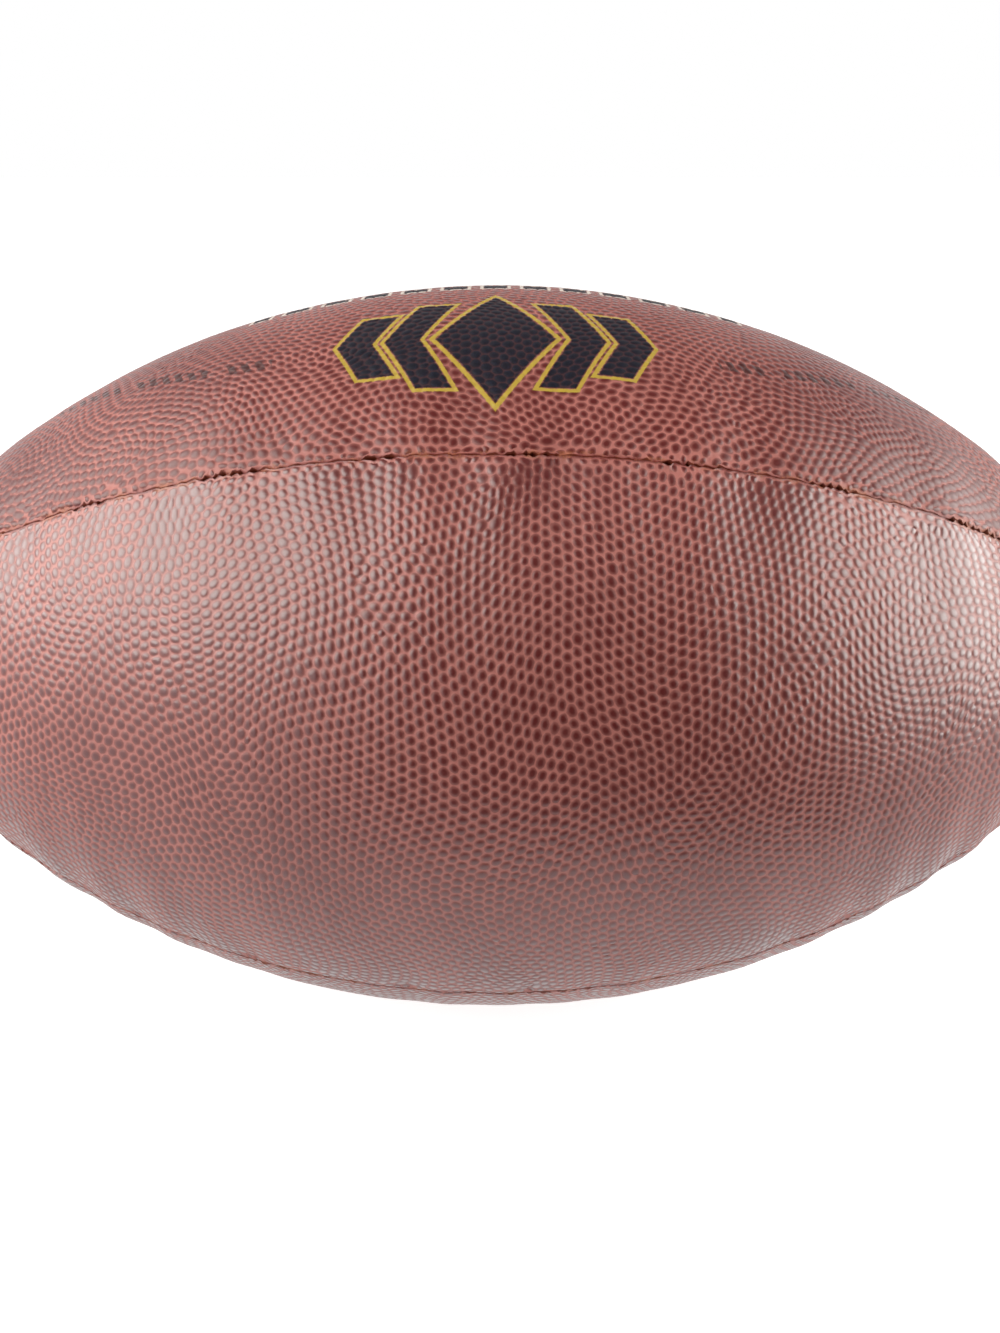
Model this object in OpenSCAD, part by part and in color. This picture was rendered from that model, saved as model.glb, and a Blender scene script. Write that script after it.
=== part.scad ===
// American football: four leather panels sewn edge to edge inside out, each
// backed by a lining, over a bladder with a needle valve, and laced along one seam.
// The long axis is X, the ball's centre is the origin, and the four seams lie
// halfway between the Y and Z axes. The laced seam is the one between +Y and +Z.

/* [Ball] */
// Length from tip to tip
ball_length = 284; // [260:1:310]
// Diameter at the belly
ball_diameter = 171; // [158:0.5:184]
// Radius of the shoulder between the belly and the tip
shoulder_radius = 65; // [55:1:75]
// Angle through which the outline has turned where the belly's curve ends
belly_angle = 35.4; // [33:0.2:38]
// Angle through which it has turned where the shoulder ends
shoulder_angle = 56.2; // [54:0.2:59]
// Angle through which it has turned at the tip
tip_angle = 79; // [76:0.5:82]

/* [Cover] */
// Thickness of the leather
cover_t = 1.9; // [1.4:0.1:2.2]
// Gap between the two panels of a seam
seam_gap = 0.4; // [0.3:0.1:0.6]
// How deep the turned-in edges reach, measured from the outside
seam_allowance = 5.5; // [4.8:0.1:6.5]
// Depth of the groove that a seam pulls into the cover
groove_depth = 1.5; // [0.8:0.1:1.6]
// Width of that groove
groove_width = 5; // [3:0.2:6]

/* [Lining and bladder] */
// Thickness of the lining behind each panel
lining_t = 0.9; // [0.6:0.1:1.2]
// Thickness of the bladder's wall
bladder_t = 0.8; // [0.6:0.1:1]
// Room between layers that lie on each other
layer_gap = 0.2; // [0.1:0.05:0.3]

/* [Seam thread] */
// Thickness of the thread
thread_t = 0.7; // [0.5:0.1:0.9]
// Depth of the stitch line, measured from the outside
stitch_depth = 3.9; // [3.8:0.1:4.1]

/* [Lacing] */
// Number of crossings
lace_rows = 8; // [6:1:8]
// Distance from one crossing to the next
lace_pitch = 12.6; // [12:0.1:13.5]
// Distance across the seam between the two holes of a crossing
lace_spread = 26; // [24:0.5:28]
// Distance from the last crossing to the hole where the long run dives
lace_end_step = 8.4; // [8:0.1:9]
// Width of the lace where it lies flat
lace_w = 6; // [5.4:0.1:6.4]
// Thickness of the lace where it lies flat
lace_t = 1.6; // [1.2:0.1:1.8]
// Width of the lace where a hole squeezes it
lace_hole_w = 4.8; // [4:0.1:5]
// Diameter of the lace holes
lace_hole_d = 5.6; // [5.4:0.1:6]
// Thickness of the facings behind the lace holes
facing_t = 1; // [0.8:0.1:1.2]
// Width of each facing
facing_w = 18; // [17.5:0.5:20]
// Thickness of the tongue under the lacing
tongue_t = 1; // [0.8:0.1:1.4]
// Width of the tongue
tongue_w = 44; // [44:1:50]

/* [Valve] */
// Diameter of the needle hole
needle_d = 2.1; // [1.9:0.1:2.4]
// Depth of the needle hole
needle_depth = 10; // [8:0.5:11]
// Diameter of the plug's neck, which shows in the panel
plug_d = 6.4; // [5.6:0.2:7]
// Diameter of the plug's bulb, which keeps it in the sleeve
bulb_d = 9; // [8:0.2:10]
// Height of that bulb
bulb_h = 3; // [2.5:0.1:3.5]
// Length of the plug
plug_length = 13; // [12.5:0.5:15]
// How far the plug's face lies below the leather
plug_recess = 0.5; // [0.3:0.1:0.8]
// Diameter of the sleeve's body
sleeve_d = 14; // [13:0.5:16]
// Diameter of the sleeve's flange, which is bonded to the bladder
flange_d = 30; // [26:1:34]
// Thickness of that flange
flange_t = 1.2; // [1:0.1:1.4]
// Diameter of the patch behind the valve hole
patch_d = 36; // [32:1:40]
// Thickness of that patch
patch_t = 0.6; // [0.5:0.1:0.8]

/* [Hidden] */
$fn = 96;

leather = [0.43, 0.2, 0.17];
cotton = [0.85, 0.82, 0.74];
rubber = [0.13, 0.12, 0.12];
lace_white = [0.92, 0.9, 0.86];

half_length = ball_length / 2;
half_diameter = ball_diameter / 2;
quarter_turn = 90;
seam_angle = quarter_turn / 2;
// How far a cutting shape runs past what it cuts
overrun = 2;
// How far a flange reaches into the wall that it grows from
root = cover_t / 6;
far = 2 * ball_length;

// The outline in the plane of the long axis is a chain of three arcs that touch:
// each has a centre, a radius and the angles, from the belly, between which it runs.
// The radii over the belly and at the tip are those that make the chain as long
// and as high as the ball.
function way(angle) = [sin(angle), cos(angle)];
function run(from, to) = [sin(to) - sin(from), cos(from) - cos(to)];
belly_run = run(0, belly_angle);
tip_run = run(shoulder_angle, tip_angle);
left_over = [half_length, half_diameter] - shoulder_radius * run(belly_angle, shoulder_angle);
turned_area = belly_run.x * tip_run.y - belly_run.y * tip_run.x;
belly_radius = (left_over.x * tip_run.y - left_over.y * tip_run.x) / turned_area;
tip_radius = (belly_run.x * left_over.y - belly_run.y * left_over.x) / turned_area;
belly_centre = [0, half_diameter - belly_radius];
shoulder_centre = belly_centre + (belly_radius - shoulder_radius) * way(belly_angle);
tip_centre = shoulder_centre + (shoulder_radius - tip_radius) * way(shoulder_angle);
// Straight steps that stand in for each arc
belly_steps = 12;
shoulder_steps = 4;
tip_steps = 5;

// Depths of the layers, all measured from the outside of the leather
lining_depth = cover_t + layer_gap;
inside_depth = lining_depth + lining_t + layer_gap;
facing_depth = inside_depth;
lace_run_t = 1.4;
lace_run_depth = facing_depth + facing_t + layer_gap + lace_run_t / 2;
tongue_depth = lace_run_depth + lace_run_t / 2 + layer_gap;
lacing_pocket_depth = tongue_depth + tongue_t + layer_gap;
channel_depth = seam_allowance + layer_gap;
patch_pocket_depth = inside_depth + patch_t + layer_gap;

// Valve
valve_fit = 0.1;
flange_depth = inside_depth + patch_t + bladder_t + 2 * layer_gap;
bulb_depth = flange_depth + flange_t;
sleeve_wall = (sleeve_d - bulb_d) / 4;
sleeve_bottom = plug_recess + plug_length + valve_fit + sleeve_wall;

// Half widths, measured from the plane of a seam
edge_reach = seam_gap / 2 + cover_t;
thread_start = edge_reach + layer_gap / 4;
channel_reach = thread_start + thread_t + layer_gap;
// Where the groove and the stitches stop short of the tip
groove_stop = 5;
stitch_end = half_length - 2 * seam_allowance;

// Lacing
lace_span = (lace_rows - 1) * lace_pitch / 2;
lace_end = lace_span + lace_end_step;
lace_tail = 11;
opening_half = lace_end + lace_tail + lace_run_t;
facing_half = lace_end + lace_hole_d;
tongue_half = opening_half - layer_gap;
facing_corner = facing_w / 4;
lace_gap = 0.5;
// How far the lace lies clear of the leather
lace_clearance = 0.15;
lace_lift = lace_t / 2 + lace_clearance;
lace_hole_t = 1.8;
lace_run_w = 4.8;
lace_bend = 1.3;
lace_fold = 0.9;
lace_chamfer = 0.3;
lace_tuck = 7;

// Points along one arc of the outline, the first one left out
function arc(centre, radius, from, to, steps) = [for (i = [1 : steps])
    let (angle = from + (to - from) * i / steps)
        centre + radius * way(angle)];

// The outline at a depth below the leather, from the belly's middle to the tip
function quarter_outline(depth) = concat(
    arc(belly_centre, belly_radius - depth, 0, belly_angle, belly_steps),
    arc(shoulder_centre, shoulder_radius - depth, belly_angle, shoulder_angle, shoulder_steps),
    arc(tip_centre, tip_radius - depth, shoulder_angle,
        acos(-tip_centre.y / (tip_radius - depth)), tip_steps));

// Half of the ball's section at a depth below the leather, above the long axis
module outline(depth) {
    right = quarter_outline(depth);
    last = len(right) - 1;
    left = [for (i = [last : -1 : 0]) [-right[i].x, right[i].y]];
    polygon(concat(left, [[0, half_diameter - depth]], right));
}

// The whole ball, shrunk by a depth
module turned(depth) {
    rotate([0, quarter_turn, 0]) rotate_extrude() mirror([1, -1]) outline(depth);
}

// The layer between two depths
module layer(depth, thickness) {
    difference() {
        turned(depth);
        turned(depth + thickness);
    }
}

// The quarter of space round +Z that lies a gap away from the seam planes
module quadrant(gap) {
    rotate([quarter_turn, 0, quarter_turn]) translate([0, gap * sqrt(2), -far])
        linear_extrude(2 * far) polygon([[0, 0], [far, far], [-far, far]]);
}

// Places of the four panels, and of the seams on both sides of a panel
module at_top() children();
module at_back() rotate([-quarter_turn, 0, 0]) children();
module at_bottom() rotate([2 * quarter_turn, 0, 0]) children();
module at_front() rotate([quarter_turn, 0, 0]) children();
module at_seam(side) rotate([-side * seam_angle, 0, 0]) children();
module at_lacing() at_seam(1) children();

// The groove that a seam pulls into the leather: a wedge swept along the outline
// from tip to tip, with a ring at each corner of the outline
function unit_of(v) = v / norm(v);
function groove_path() =
    let (right = quarter_outline(0), last = len(right) - 1, tip = right[last],
        stop = tip + groove_stop * unit_of(right[last - 1] - tip),
        side = concat([for (i = [0 : last - 1]) right[i]], [stop]))
    concat([for (i = [last : -1 : 0]) [-side[i].x, side[i].y]],
        [[0, half_diameter]], side);
module groove() {
    path = groove_path();
    last = len(path) - 1;
    steps = [for (i = [0 : last - 1]) unit_of(path[i + 1] - path[i])];
    lip = groove_width / 2 * (groove_depth + overrun) / groove_depth;
    profile = [[overrun, lip], [overrun, -lip], [-groove_depth, 0]];
    points = [for (i = [0 : last])
        let (before = steps[max(i - 1, 0)], after = steps[min(i, last - 1)],
            middle = unit_of(before + after), stretch = 1 / (middle * after))
            for (q = profile) [path[i].x - middle.y * q.x * stretch, q.y,
                path[i].y + middle.x * q.x * stretch]];
    polyhedron(points, tube_faces(last + 1, len(profile)));
}

// The faces of a closed tube of rings, with its two end caps
function tube_faces(rings, sides) = concat(
    [for (i = [0 : rings - 2], j = [0 : sides - 1])
        for (half = [0, 1])
            let (a = i * sides + j, b = i * sides + (j + 1) % sides)
                half == 0 ? [a, b + sides, b] : [a, a + sides, b + sides]],
    [for (j = [1 : sides - 2]) [0, j, j + 1]],
    [for (j = [1 : sides - 2])
        [(rings - 1) * sides, (rings - 1) * sides + j + 1, (rings - 1) * sides + j]]);

// The two turned-in edges of a seam, cut back where the lacing opens it
module turned_edges(laced) {
    rotate([quarter_turn, 0, 0]) linear_extrude(2 * edge_reach, center = true)
        difference() {
            outline(cover_t - root);
            outline(seam_allowance);
            if (laced) square([2 * opening_half, ball_diameter], center = true);
        }
}

// Places on the skin by the lacing: x is the length along the skin's arc,
// y the distance across the seam and h the height above the leather
function turn_x(x) = asin(x / belly_radius);
function turn_y(y) = y / half_diameter * 180 / PI;
module on_skin(x, y) {
    rotate([-turn_y(y), 0, 0]) translate([0, 0, belly_centre.y])
        rotate([0, turn_x(x), 0]) translate([0, 0, belly_radius]) children();
}

module lace_holes() {
    depth = facing_depth + facing_t + overrun;
    for (side = [-1, 1], row = [0 : lace_rows - 1])
        on_skin(row * lace_pitch - lace_span, side * lace_spread / 2)
            translate([0, 0, -depth]) cylinder(d = lace_hole_d, h = depth + overrun);
    for (end = [-1, 1])
        on_skin(end * lace_end, 0)
            translate([0, 0, -depth]) cylinder(d = lace_hole_d, h = depth + overrun);
}

// laced is the side of the panel, 1 or -1, on which it is laced, or 0
module panel(laced = 0) {
    difference() {
        intersection() {
            quadrant(seam_gap / 2);
            union() {
                layer(0, cover_t);
                for (side = [-1, 1]) at_seam(side) turned_edges(side == laced);
            }
        }
        for (side = [-1, 1]) at_seam(side) groove();
        if (laced != 0) at_seam(laced) lace_holes();
    }
}

module lining(laced = 0) {
    difference() {
        intersection() {
            quadrant(edge_reach + layer_gap);
            layer(lining_depth, lining_t);
        }
        if (laced != 0) at_seam(laced) lace_holes();
    }
}

// Two rows of lockstitch, one on each turned-in edge, as two smooth runs
module seam_thread(laced = false) {
    for (side = [-1, 1])
        rotate([quarter_turn, 0, 0])
            translate([0, 0, side * (thread_start + thread_t / 2)])
                linear_extrude(thread_t, center = true) difference() {
                    outline(stitch_depth - thread_t / 2);
                    outline(stitch_depth + thread_t / 2);
                    for (end = [-1, 1]) translate([end * 2 * stitch_end, 0])
                        square([2 * stitch_end, ball_diameter], center = true);
                    if (laced) square([2 * opening_half, ball_diameter], center = true);
                }
}

module rounded_plate(length, width, corner) {
    square([length - 2 * corner, width], center = true);
    square([length, width - 2 * corner], center = true);
    for (x = [-1, 1], y = [-1, 1])
        translate([x * (length / 2 - corner), y * (width / 2 - corner)]) circle(corner);
}

module lace_facing(side) {
    difference() {
        intersection() {
            layer(facing_depth, facing_t);
            translate([0, side * (seam_gap + facing_w) / 2, 0]) linear_extrude(far)
                rounded_plate(2 * facing_half, facing_w, facing_corner);
        }
        lace_holes();
    }
}

module bladder_form(inset) {
    lacing_w = tongue_w + 2 * (layer_gap + inset);
    difference() {
        turned(inside_depth + inset);
        for (side = [-1, 1]) at_seam(side) rotate([quarter_turn, 0, 0])
            linear_extrude(2 * (channel_reach + inset), center = true) for (half = [0, 1])
                mirror([0, half]) difference() {
                    outline(0);
                    outline(channel_depth + inset);
                }
        at_lacing() intersection() {
            layer(0, lacing_pocket_depth + inset);
            linear_extrude(far) square([2 * (tongue_half + layer_gap + inset), lacing_w],
                center = true);
        }
        at_back() intersection() {
            layer(0, patch_pocket_depth + inset);
            cylinder(d = patch_d + 2 * (layer_gap + inset), h = far);
        }
    }
}

// Places the valve's axis on +Z, and a length there at a depth below the leather
module valve_bar(diameter, depth, length)
    translate([0, 0, half_diameter - depth - length]) cylinder(d = diameter, h = length);

module valve_opening() valve_bar(plug_d + 2 * layer_gap, -overrun, bulb_depth + overrun);

// The bulb widens and narrows again in two cones, with a straight band between
module bulb(extra) {
    cone = (bulb_d - plug_d) / 2;
    band = bulb_h - cone;
    low = half_diameter - bulb_depth - bulb_h;
    translate([0, 0, low]) {
        cylinder(d1 = plug_d + 2 * extra, d2 = bulb_d + 2 * extra, h = cone / 2);
        translate([0, 0, cone / 2]) cylinder(d = bulb_d + 2 * extra, h = band);
        translate([0, 0, cone / 2 + band])
            cylinder(d1 = bulb_d + 2 * extra, d2 = plug_d + 2 * extra, h = cone / 2);
    }
}

module valve_plug() {
    color(rubber) at_back() difference() {
        union() {
            valve_bar(plug_d, plug_recess, plug_length);
            bulb(0);
        }
        valve_bar(needle_d, -overrun, plug_recess + needle_depth + overrun);
    }
}

module valve_sleeve() {
    color(rubber) at_back() difference() {
        intersection() {
            turned(flange_depth);
            union() {
                valve_bar(sleeve_d, 0, sleeve_bottom);
                difference() {
                    valve_bar(flange_d, 0, sleeve_bottom);
                    turned(flange_depth + flange_t);
                }
            }
        }
        valve_bar(plug_d + 2 * valve_fit, 0, plug_recess + plug_length + valve_fit);
        bulb(valve_fit);
        valve_bar(needle_d, 0, sleeve_bottom + overrun);
    }
}

module valve_patch() {
    color(cotton) at_back() difference() {
        intersection() {
            layer(inside_depth, patch_t);
            valve_bar(patch_d, 0, half_diameter);
        }
        valve_opening();
    }
}

// The lace is one flat strip. A station on its way holds the place on the skin
// (x, y and the height h above the leather), the turn of its width away from the
// long axis, its width and its thickness.
function skin_point(x, y, h) =
    let (a = turn_x(x), b = turn_y(y), r = belly_centre.y + (belly_radius + h) * cos(a))
        [(belly_radius + h) * sin(a), r * sin(b), r * cos(b)];
function skin_way(x, y, turn) =
    let (a = turn_x(x), b = turn_y(y))
        cos(turn) * [cos(a), -sin(a) * sin(b), -sin(a) * cos(b)]
            + sin(turn) * [0, cos(b), -sin(b)];
// The turn of the width across a way of travel, kept between -60 and 120 degrees
function turn_across(way) =
    let (a = (atan2(way.y, way.x) - 90 + 60) % 180) (a < 0 ? a + 180 : a) - 60;
function reverse(v) = [for (i = [len(v) - 1 : -1 : 0]) v[i]];

// The lace comes along outside on the way top, goes down the hole at x, y, and
// leaves along the inside on the way inner
function dive(x, y, top, inner) =
    let (ease = 1 - cos(45), t = turn_across(top), u = turn_across(inner),
        low = -lace_run_depth)
    [[x - lace_bend * top.x, y - lace_bend * top.y, lace_lift, t, lace_w, lace_t],
        [x - lace_bend * ease * top.x, y - lace_bend * ease * top.y,
            lace_lift - lace_bend * ease, t, (lace_w + lace_hole_w) / 2, lace_t],
        [x, y, lace_lift - lace_bend, t, lace_hole_w, lace_hole_t],
        [x, y, (lace_lift - lace_bend + low + lace_fold) / 2, (t + u) / 2,
            lace_hole_w, lace_hole_t],
        [x, y, low + lace_fold, u, lace_hole_w, lace_run_t],
        [x + lace_fold * ease * inner.x, y + lace_fold * ease * inner.y,
            low + lace_fold * ease, u, lace_run_w, lace_run_t],
        [x + lace_fold * inner.x, y + lace_fold * inner.y, low, u,
            lace_run_w, lace_run_t]];

// Places of a crossing's two holes, and the ways in which the strip leaves them inside
function hole(row, side) = [row * lace_pitch - lace_span, side * lace_spread / 2];
function way_before(row) = unit_of((row == lace_rows - 1 ? [lace_end, 0]
    : hole(row + 1, -1)) - hole(row, 1));
function way_after(row) = row == 0 ? [0, -1] : unit_of(hole(row - 1, 1) - hole(row, -1));

// A crossing climbs over the long run that lies on the seam
ridge_half = lace_w / 2 + lace_gap;
ridge_rise = lace_t + lace_gap;
ramp = 3.5 * lace_t;
crossing_shares = [0.66, 0.45, 0.22, -0.22, -0.45, -0.66];
function smooth(t) = t * t * (3 - 2 * t);
function crossing_h(y) = lace_lift
    + ridge_rise * smooth(min(1, max(0, (ridge_half + ramp - abs(y)) / ramp)));
function crossing(row) = concat(
    reverse(dive(hole(row, 1).x, hole(row, 1).y, [0, 1], way_before(row))),
    [for (share = crossing_shares) let (y = share * lace_spread / 2)
        [hole(row, 1).x, y, crossing_h(y), 0, lace_w, lace_t]],
    dive(hole(row, -1).x, hole(row, -1).y, [0, -1], way_after(row)));

// The straight run inside to the next hole
run_shares = [1 / 3, 2 / 3];
function inside_run(from, to) = [for (share = run_shares)
    let (p = from + share * (to - from))
        [p.x, p.y, -lace_run_depth, turn_across(to - from), lace_run_w, lace_run_t]];

ridge_steps = 12;
function lace_stations() = concat(
    [[-lace_end - lace_tail, 0, -lace_run_depth, 90, lace_run_w, lace_run_t]],
    reverse(dive(-lace_end, 0, [-1, 0], [-1, 0])),
    [for (i = [1 : ridge_steps - 1])
        [lace_end * (2 * i / ridge_steps - 1), 0, lace_lift, 90, lace_w, lace_t]],
    dive(lace_end, 0, [1, 0], -way_before(lace_rows - 1)),
    inside_run([lace_end, 0], hole(lace_rows - 1, 1)),
    [for (i = [0 : lace_rows - 1]) let (row = lace_rows - 1 - i)
        for (station = concat(crossing(row),
            row == 0 ? [] : inside_run(hole(row, -1), hole(row - 1, 1)))) station],
    [[hole(0, -1).x, hole(0, -1).y - lace_tuck, -lace_run_depth, 0,
        lace_run_w, lace_run_t]]);

// A station's frame: its centre, the ways of its width, its thickness and its travel
function lace_frames(stations) =
    let (centres = [for (s = stations) skin_point(s.x, s.y, s.z)], last = len(stations) - 1)
    [for (i = [0 : last])
        let (travel = unit_of(centres[min(i + 1, last)] - centres[max(i - 1, 0)]),
            flat = skin_way(stations[i].x, stations[i].y, stations[i][3]),
            wide = unit_of(flat - (flat * travel) * travel))
            [centres[i], wide, cross(travel, wide), travel, stations[i][4], stations[i][5]]];

// The strip's section is a flat bar with its corners taken off
function lace_ring(f) =
    let (w = f[4] / 2, t = f[5] / 2, c = lace_chamfer)
    [for (q = [[w, c - t], [w, t - c], [w - c, t], [c - w, t],
        [-w, t - c], [-w, c - t], [c - w, -t], [w - c, -t]])
            f[0] + q.x * f[1] + q.y * f[2]];

// How far a point lies from the short bar that a station stands for
bar_half = 1.2;
function bar_distance(p, f) =
    let (q = p - f[0])
    norm([max(0, abs(q * f[1]) - f[4] / 2), max(0, abs(q * f[2]) - f[5] / 2),
        max(0, abs(q * f[3]) - bar_half)]);
// Stations nearer than this along the strip are neighbours, not another turn
neighbours = 7;
function lace_least_gap(frames, rings) = min([for (i = [0 : len(frames) - 1])
    for (j = [i + neighbours : 1 : len(frames) - 1])
        if (norm(frames[i][0] - frames[j][0]) < 2 * lace_w)
            for (p = rings[i]) bar_distance(p, frames[j])]);

module lace() {
    frames = lace_frames(lace_stations());
    rings = [for (f = frames) lace_ring(f)];
    echo("lace: least gap to itself, mm", lace_least_gap(frames, rings));
    color(lace_white) at_lacing() polyhedron([for (ring = rings) for (p = ring) p],
        tube_faces(len(rings), len(rings[0])));
}

module lace_facing_top() color(cotton) at_lacing() lace_facing(-1);
module lace_facing_back() color(cotton) at_lacing() lace_facing(1);
module lace_tongue() color(leather) at_lacing() intersection() {
    layer(tongue_depth, tongue_t);
    linear_extrude(far) rounded_plate(2 * tongue_half, tongue_w, tongue_w / 4);
}

module panel_top() color(leather) at_top() panel(1);
module panel_back() color(leather) at_back() difference() {
    panel(-1);
    valve_opening();
}
module panel_bottom() color(leather) at_bottom() panel();
module panel_front() color(leather) at_front() panel();

module lining_top() color(cotton) at_top() lining(1);
module lining_back() color(cotton) at_back() difference() {
    lining(-1);
    valve_opening();
}
module lining_bottom() color(cotton) at_bottom() lining();
module lining_front() color(cotton) at_front() lining();

module seam_thread_laced() color(cotton) at_lacing() seam_thread(true);
module seam_thread_lower_back() color(cotton) at_back() at_seam(1) seam_thread();
module seam_thread_lower_front() color(cotton) at_front() at_seam(-1) seam_thread();
module seam_thread_upper_front() color(cotton) at_front() at_seam(1) seam_thread();

module bladder() color(rubber) difference() {
    bladder_form(0);
    bladder_form(bladder_t);
    at_back() valve_opening();
}

panel_top();
panel_back();
panel_bottom();
panel_front();
lining_top();
lining_back();
lining_bottom();
lining_front();
seam_thread_laced();
seam_thread_lower_back();
seam_thread_lower_front();
seam_thread_upper_front();
lace();
lace_facing_top();
lace_facing_back();
lace_tongue();
bladder();
valve_plug();
valve_sleeve();
valve_patch();
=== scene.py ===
import math

import bpy
import numpy as np
from bpy.props import (
    FloatProperty, FloatVectorProperty, IntProperty, PointerProperty,
)
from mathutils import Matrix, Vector, geometry


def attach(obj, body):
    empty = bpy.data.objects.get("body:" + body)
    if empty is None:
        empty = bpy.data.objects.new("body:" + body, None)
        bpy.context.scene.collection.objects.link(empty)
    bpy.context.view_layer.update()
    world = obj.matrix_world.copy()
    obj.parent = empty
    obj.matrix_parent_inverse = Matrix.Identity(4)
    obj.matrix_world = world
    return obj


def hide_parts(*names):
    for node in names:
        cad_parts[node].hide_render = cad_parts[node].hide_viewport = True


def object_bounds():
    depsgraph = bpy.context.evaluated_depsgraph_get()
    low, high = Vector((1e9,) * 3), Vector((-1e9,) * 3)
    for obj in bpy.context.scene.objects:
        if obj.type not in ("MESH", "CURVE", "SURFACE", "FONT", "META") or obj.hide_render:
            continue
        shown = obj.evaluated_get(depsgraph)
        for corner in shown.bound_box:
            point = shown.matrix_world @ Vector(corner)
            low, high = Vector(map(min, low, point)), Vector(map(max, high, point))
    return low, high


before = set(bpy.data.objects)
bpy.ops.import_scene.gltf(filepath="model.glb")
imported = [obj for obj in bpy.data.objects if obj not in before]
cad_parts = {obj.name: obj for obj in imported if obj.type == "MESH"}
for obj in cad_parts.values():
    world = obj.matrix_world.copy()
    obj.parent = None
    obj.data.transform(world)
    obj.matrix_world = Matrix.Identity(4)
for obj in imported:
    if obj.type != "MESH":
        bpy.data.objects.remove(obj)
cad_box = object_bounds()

bl_info = {
    "name": "Laced Leather Football",
    "version": (1, 0, 0),
    "blender": (4, 5, 0),
    "location": "3D View > Sidebar > Football",
    "description": "Finishes a laced leather football round its packed model",
    "category": "Object",
}

MM = 0.001
QUARTER = math.pi / 2
SEAM = QUARTER / 2
# Room between layers that lie on each other, and thicknesses of the layers inside
LAYER_GAP, LINING, FACING = 0.2 * MM, 0.9 * MM, 1 * MM
# Over which length the slot of the lacing closes
SLOT_END = 2 * MM
# The photograph's height, and how far its ball lies left of and above its middle,
# in its pixels
PHOTO_HEIGHT, BALL_LEFT, BALL_UP = 1333, 4.5, 21
# By how many quarters each panel is turned from +Z towards +Y, and on which of its
# sides it is laced
PANELS = {
    "panel_top": (0, 1),
    "panel_back": (1, -1),
    "panel_bottom": (2, 0),
    "panel_front": (3, 0),
}


def length(name, description, default, low=0.0):
    """A size that a user may change, in metres."""
    return FloatProperty(name=name, description=description, default=default, min=low,
                         precision=5, unit="LENGTH")


def share(name, description, default):
    """A factor between 0 and 1."""
    return FloatProperty(name=name, description=description, default=default, min=0.0,
                         max=1.0, subtype="FACTOR")


def colour(name, description, default):
    """A linear colour."""
    return FloatVectorProperty(name=name, description=description, default=default,
                               size=3, min=0.0, max=1.0, subtype="COLOR")


def angle(name, description, degrees):
    """An angle given in degrees."""
    return FloatProperty(name=name, description=description,
                         default=math.radians(degrees), subtype="ANGLE")


class BallShape(bpy.types.PropertyGroup):
    """Sizes of the ball that its packed model has too"""
    half_length: length("Half length", "From the ball's centre to a tip", 142 * MM)
    half_diameter: length("Half diameter", "From the long axis to the belly",
                          (cad_box[1].z - cad_box[0].z) / 2)
    shoulder_radius: length("Shoulder radius", "Radius between belly and tip", 65 * MM)
    belly_angle: angle("Belly angle", "Turn of the outline where the belly ends", 35.4)
    shoulder_angle: angle("Shoulder angle", "Its turn where the shoulder ends", 56.2)
    tip_angle: angle("Tip angle", "Its turn at the tip", 79)
    cover: length("Cover", "Thickness of the leather", 1.9 * MM)
    allowance: length("Seam allowance", "Depth of the turned-in edges", 5.5 * MM)
    groove_depth: length("Groove depth", "How far a seam is pulled in", 0.62 * MM)
    groove_half: length("Groove half width", "From the seam to full height", 2.2 * MM)
    stitch_depth: length("Stitch depth", "From the outside to the stitches", 3.9 * MM)
    thread: length("Thread", "Thickness of the seam thread", 0.7 * MM)
    valve_hole: length("Valve hole", "Diameter of the hole in the panel", 6.8 * MM)


class LeatherLook(bpy.types.PropertyGroup):
    """Grain and colours of the leather and of what is printed on it"""
    pitch: length("Pebble pitch", "From one pebble to the next", 2.36 * MM, 1.2 * MM)
    relief: length("Pebble relief", "From a pebble's top to its valley", 0.19 * MM)
    jitter: share("Jitter", "How far pebbles stray, as a share of the pitch", 0.085)
    wander: length("Wander", "How far the rows of pebbles wander", 1.5 * MM)
    pucker: length("Pucker", "Height of the puckers beside the seams", 0.68 * MM)
    # Tops and valleys: partly the leather's own two-tone, partly painted reflection, with
    # tops dark for the dark surroundings they mirror and valleys light for the bright room
    # that their walls mirror
    top: colour("Tops", "Colour of the pebbles' tops", (0.082, 0.0062, 0.005))
    valley: colour("Valleys", "Colour between the pebbles", (0.325, 0.113, 0.094))
    edge: colour("Edges", "Colour of the raw leather inside a seam", (0.17, 0.032, 0.012))
    tan: colour("Tan", "Colour where dye has worn off at a seam", (0.33, 0.11, 0.045))
    ink: colour("Ink", "Colour of the printed emblem", (0.003, 0.004, 0.009))
    outline: colour("Outline", "Colour of the emblem's outline", (0.36, 0.255, 0.03))
    stamp: colour("Stamp", "Colour of the pressed dashes", (0.03, 0.004, 0.004))


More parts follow.
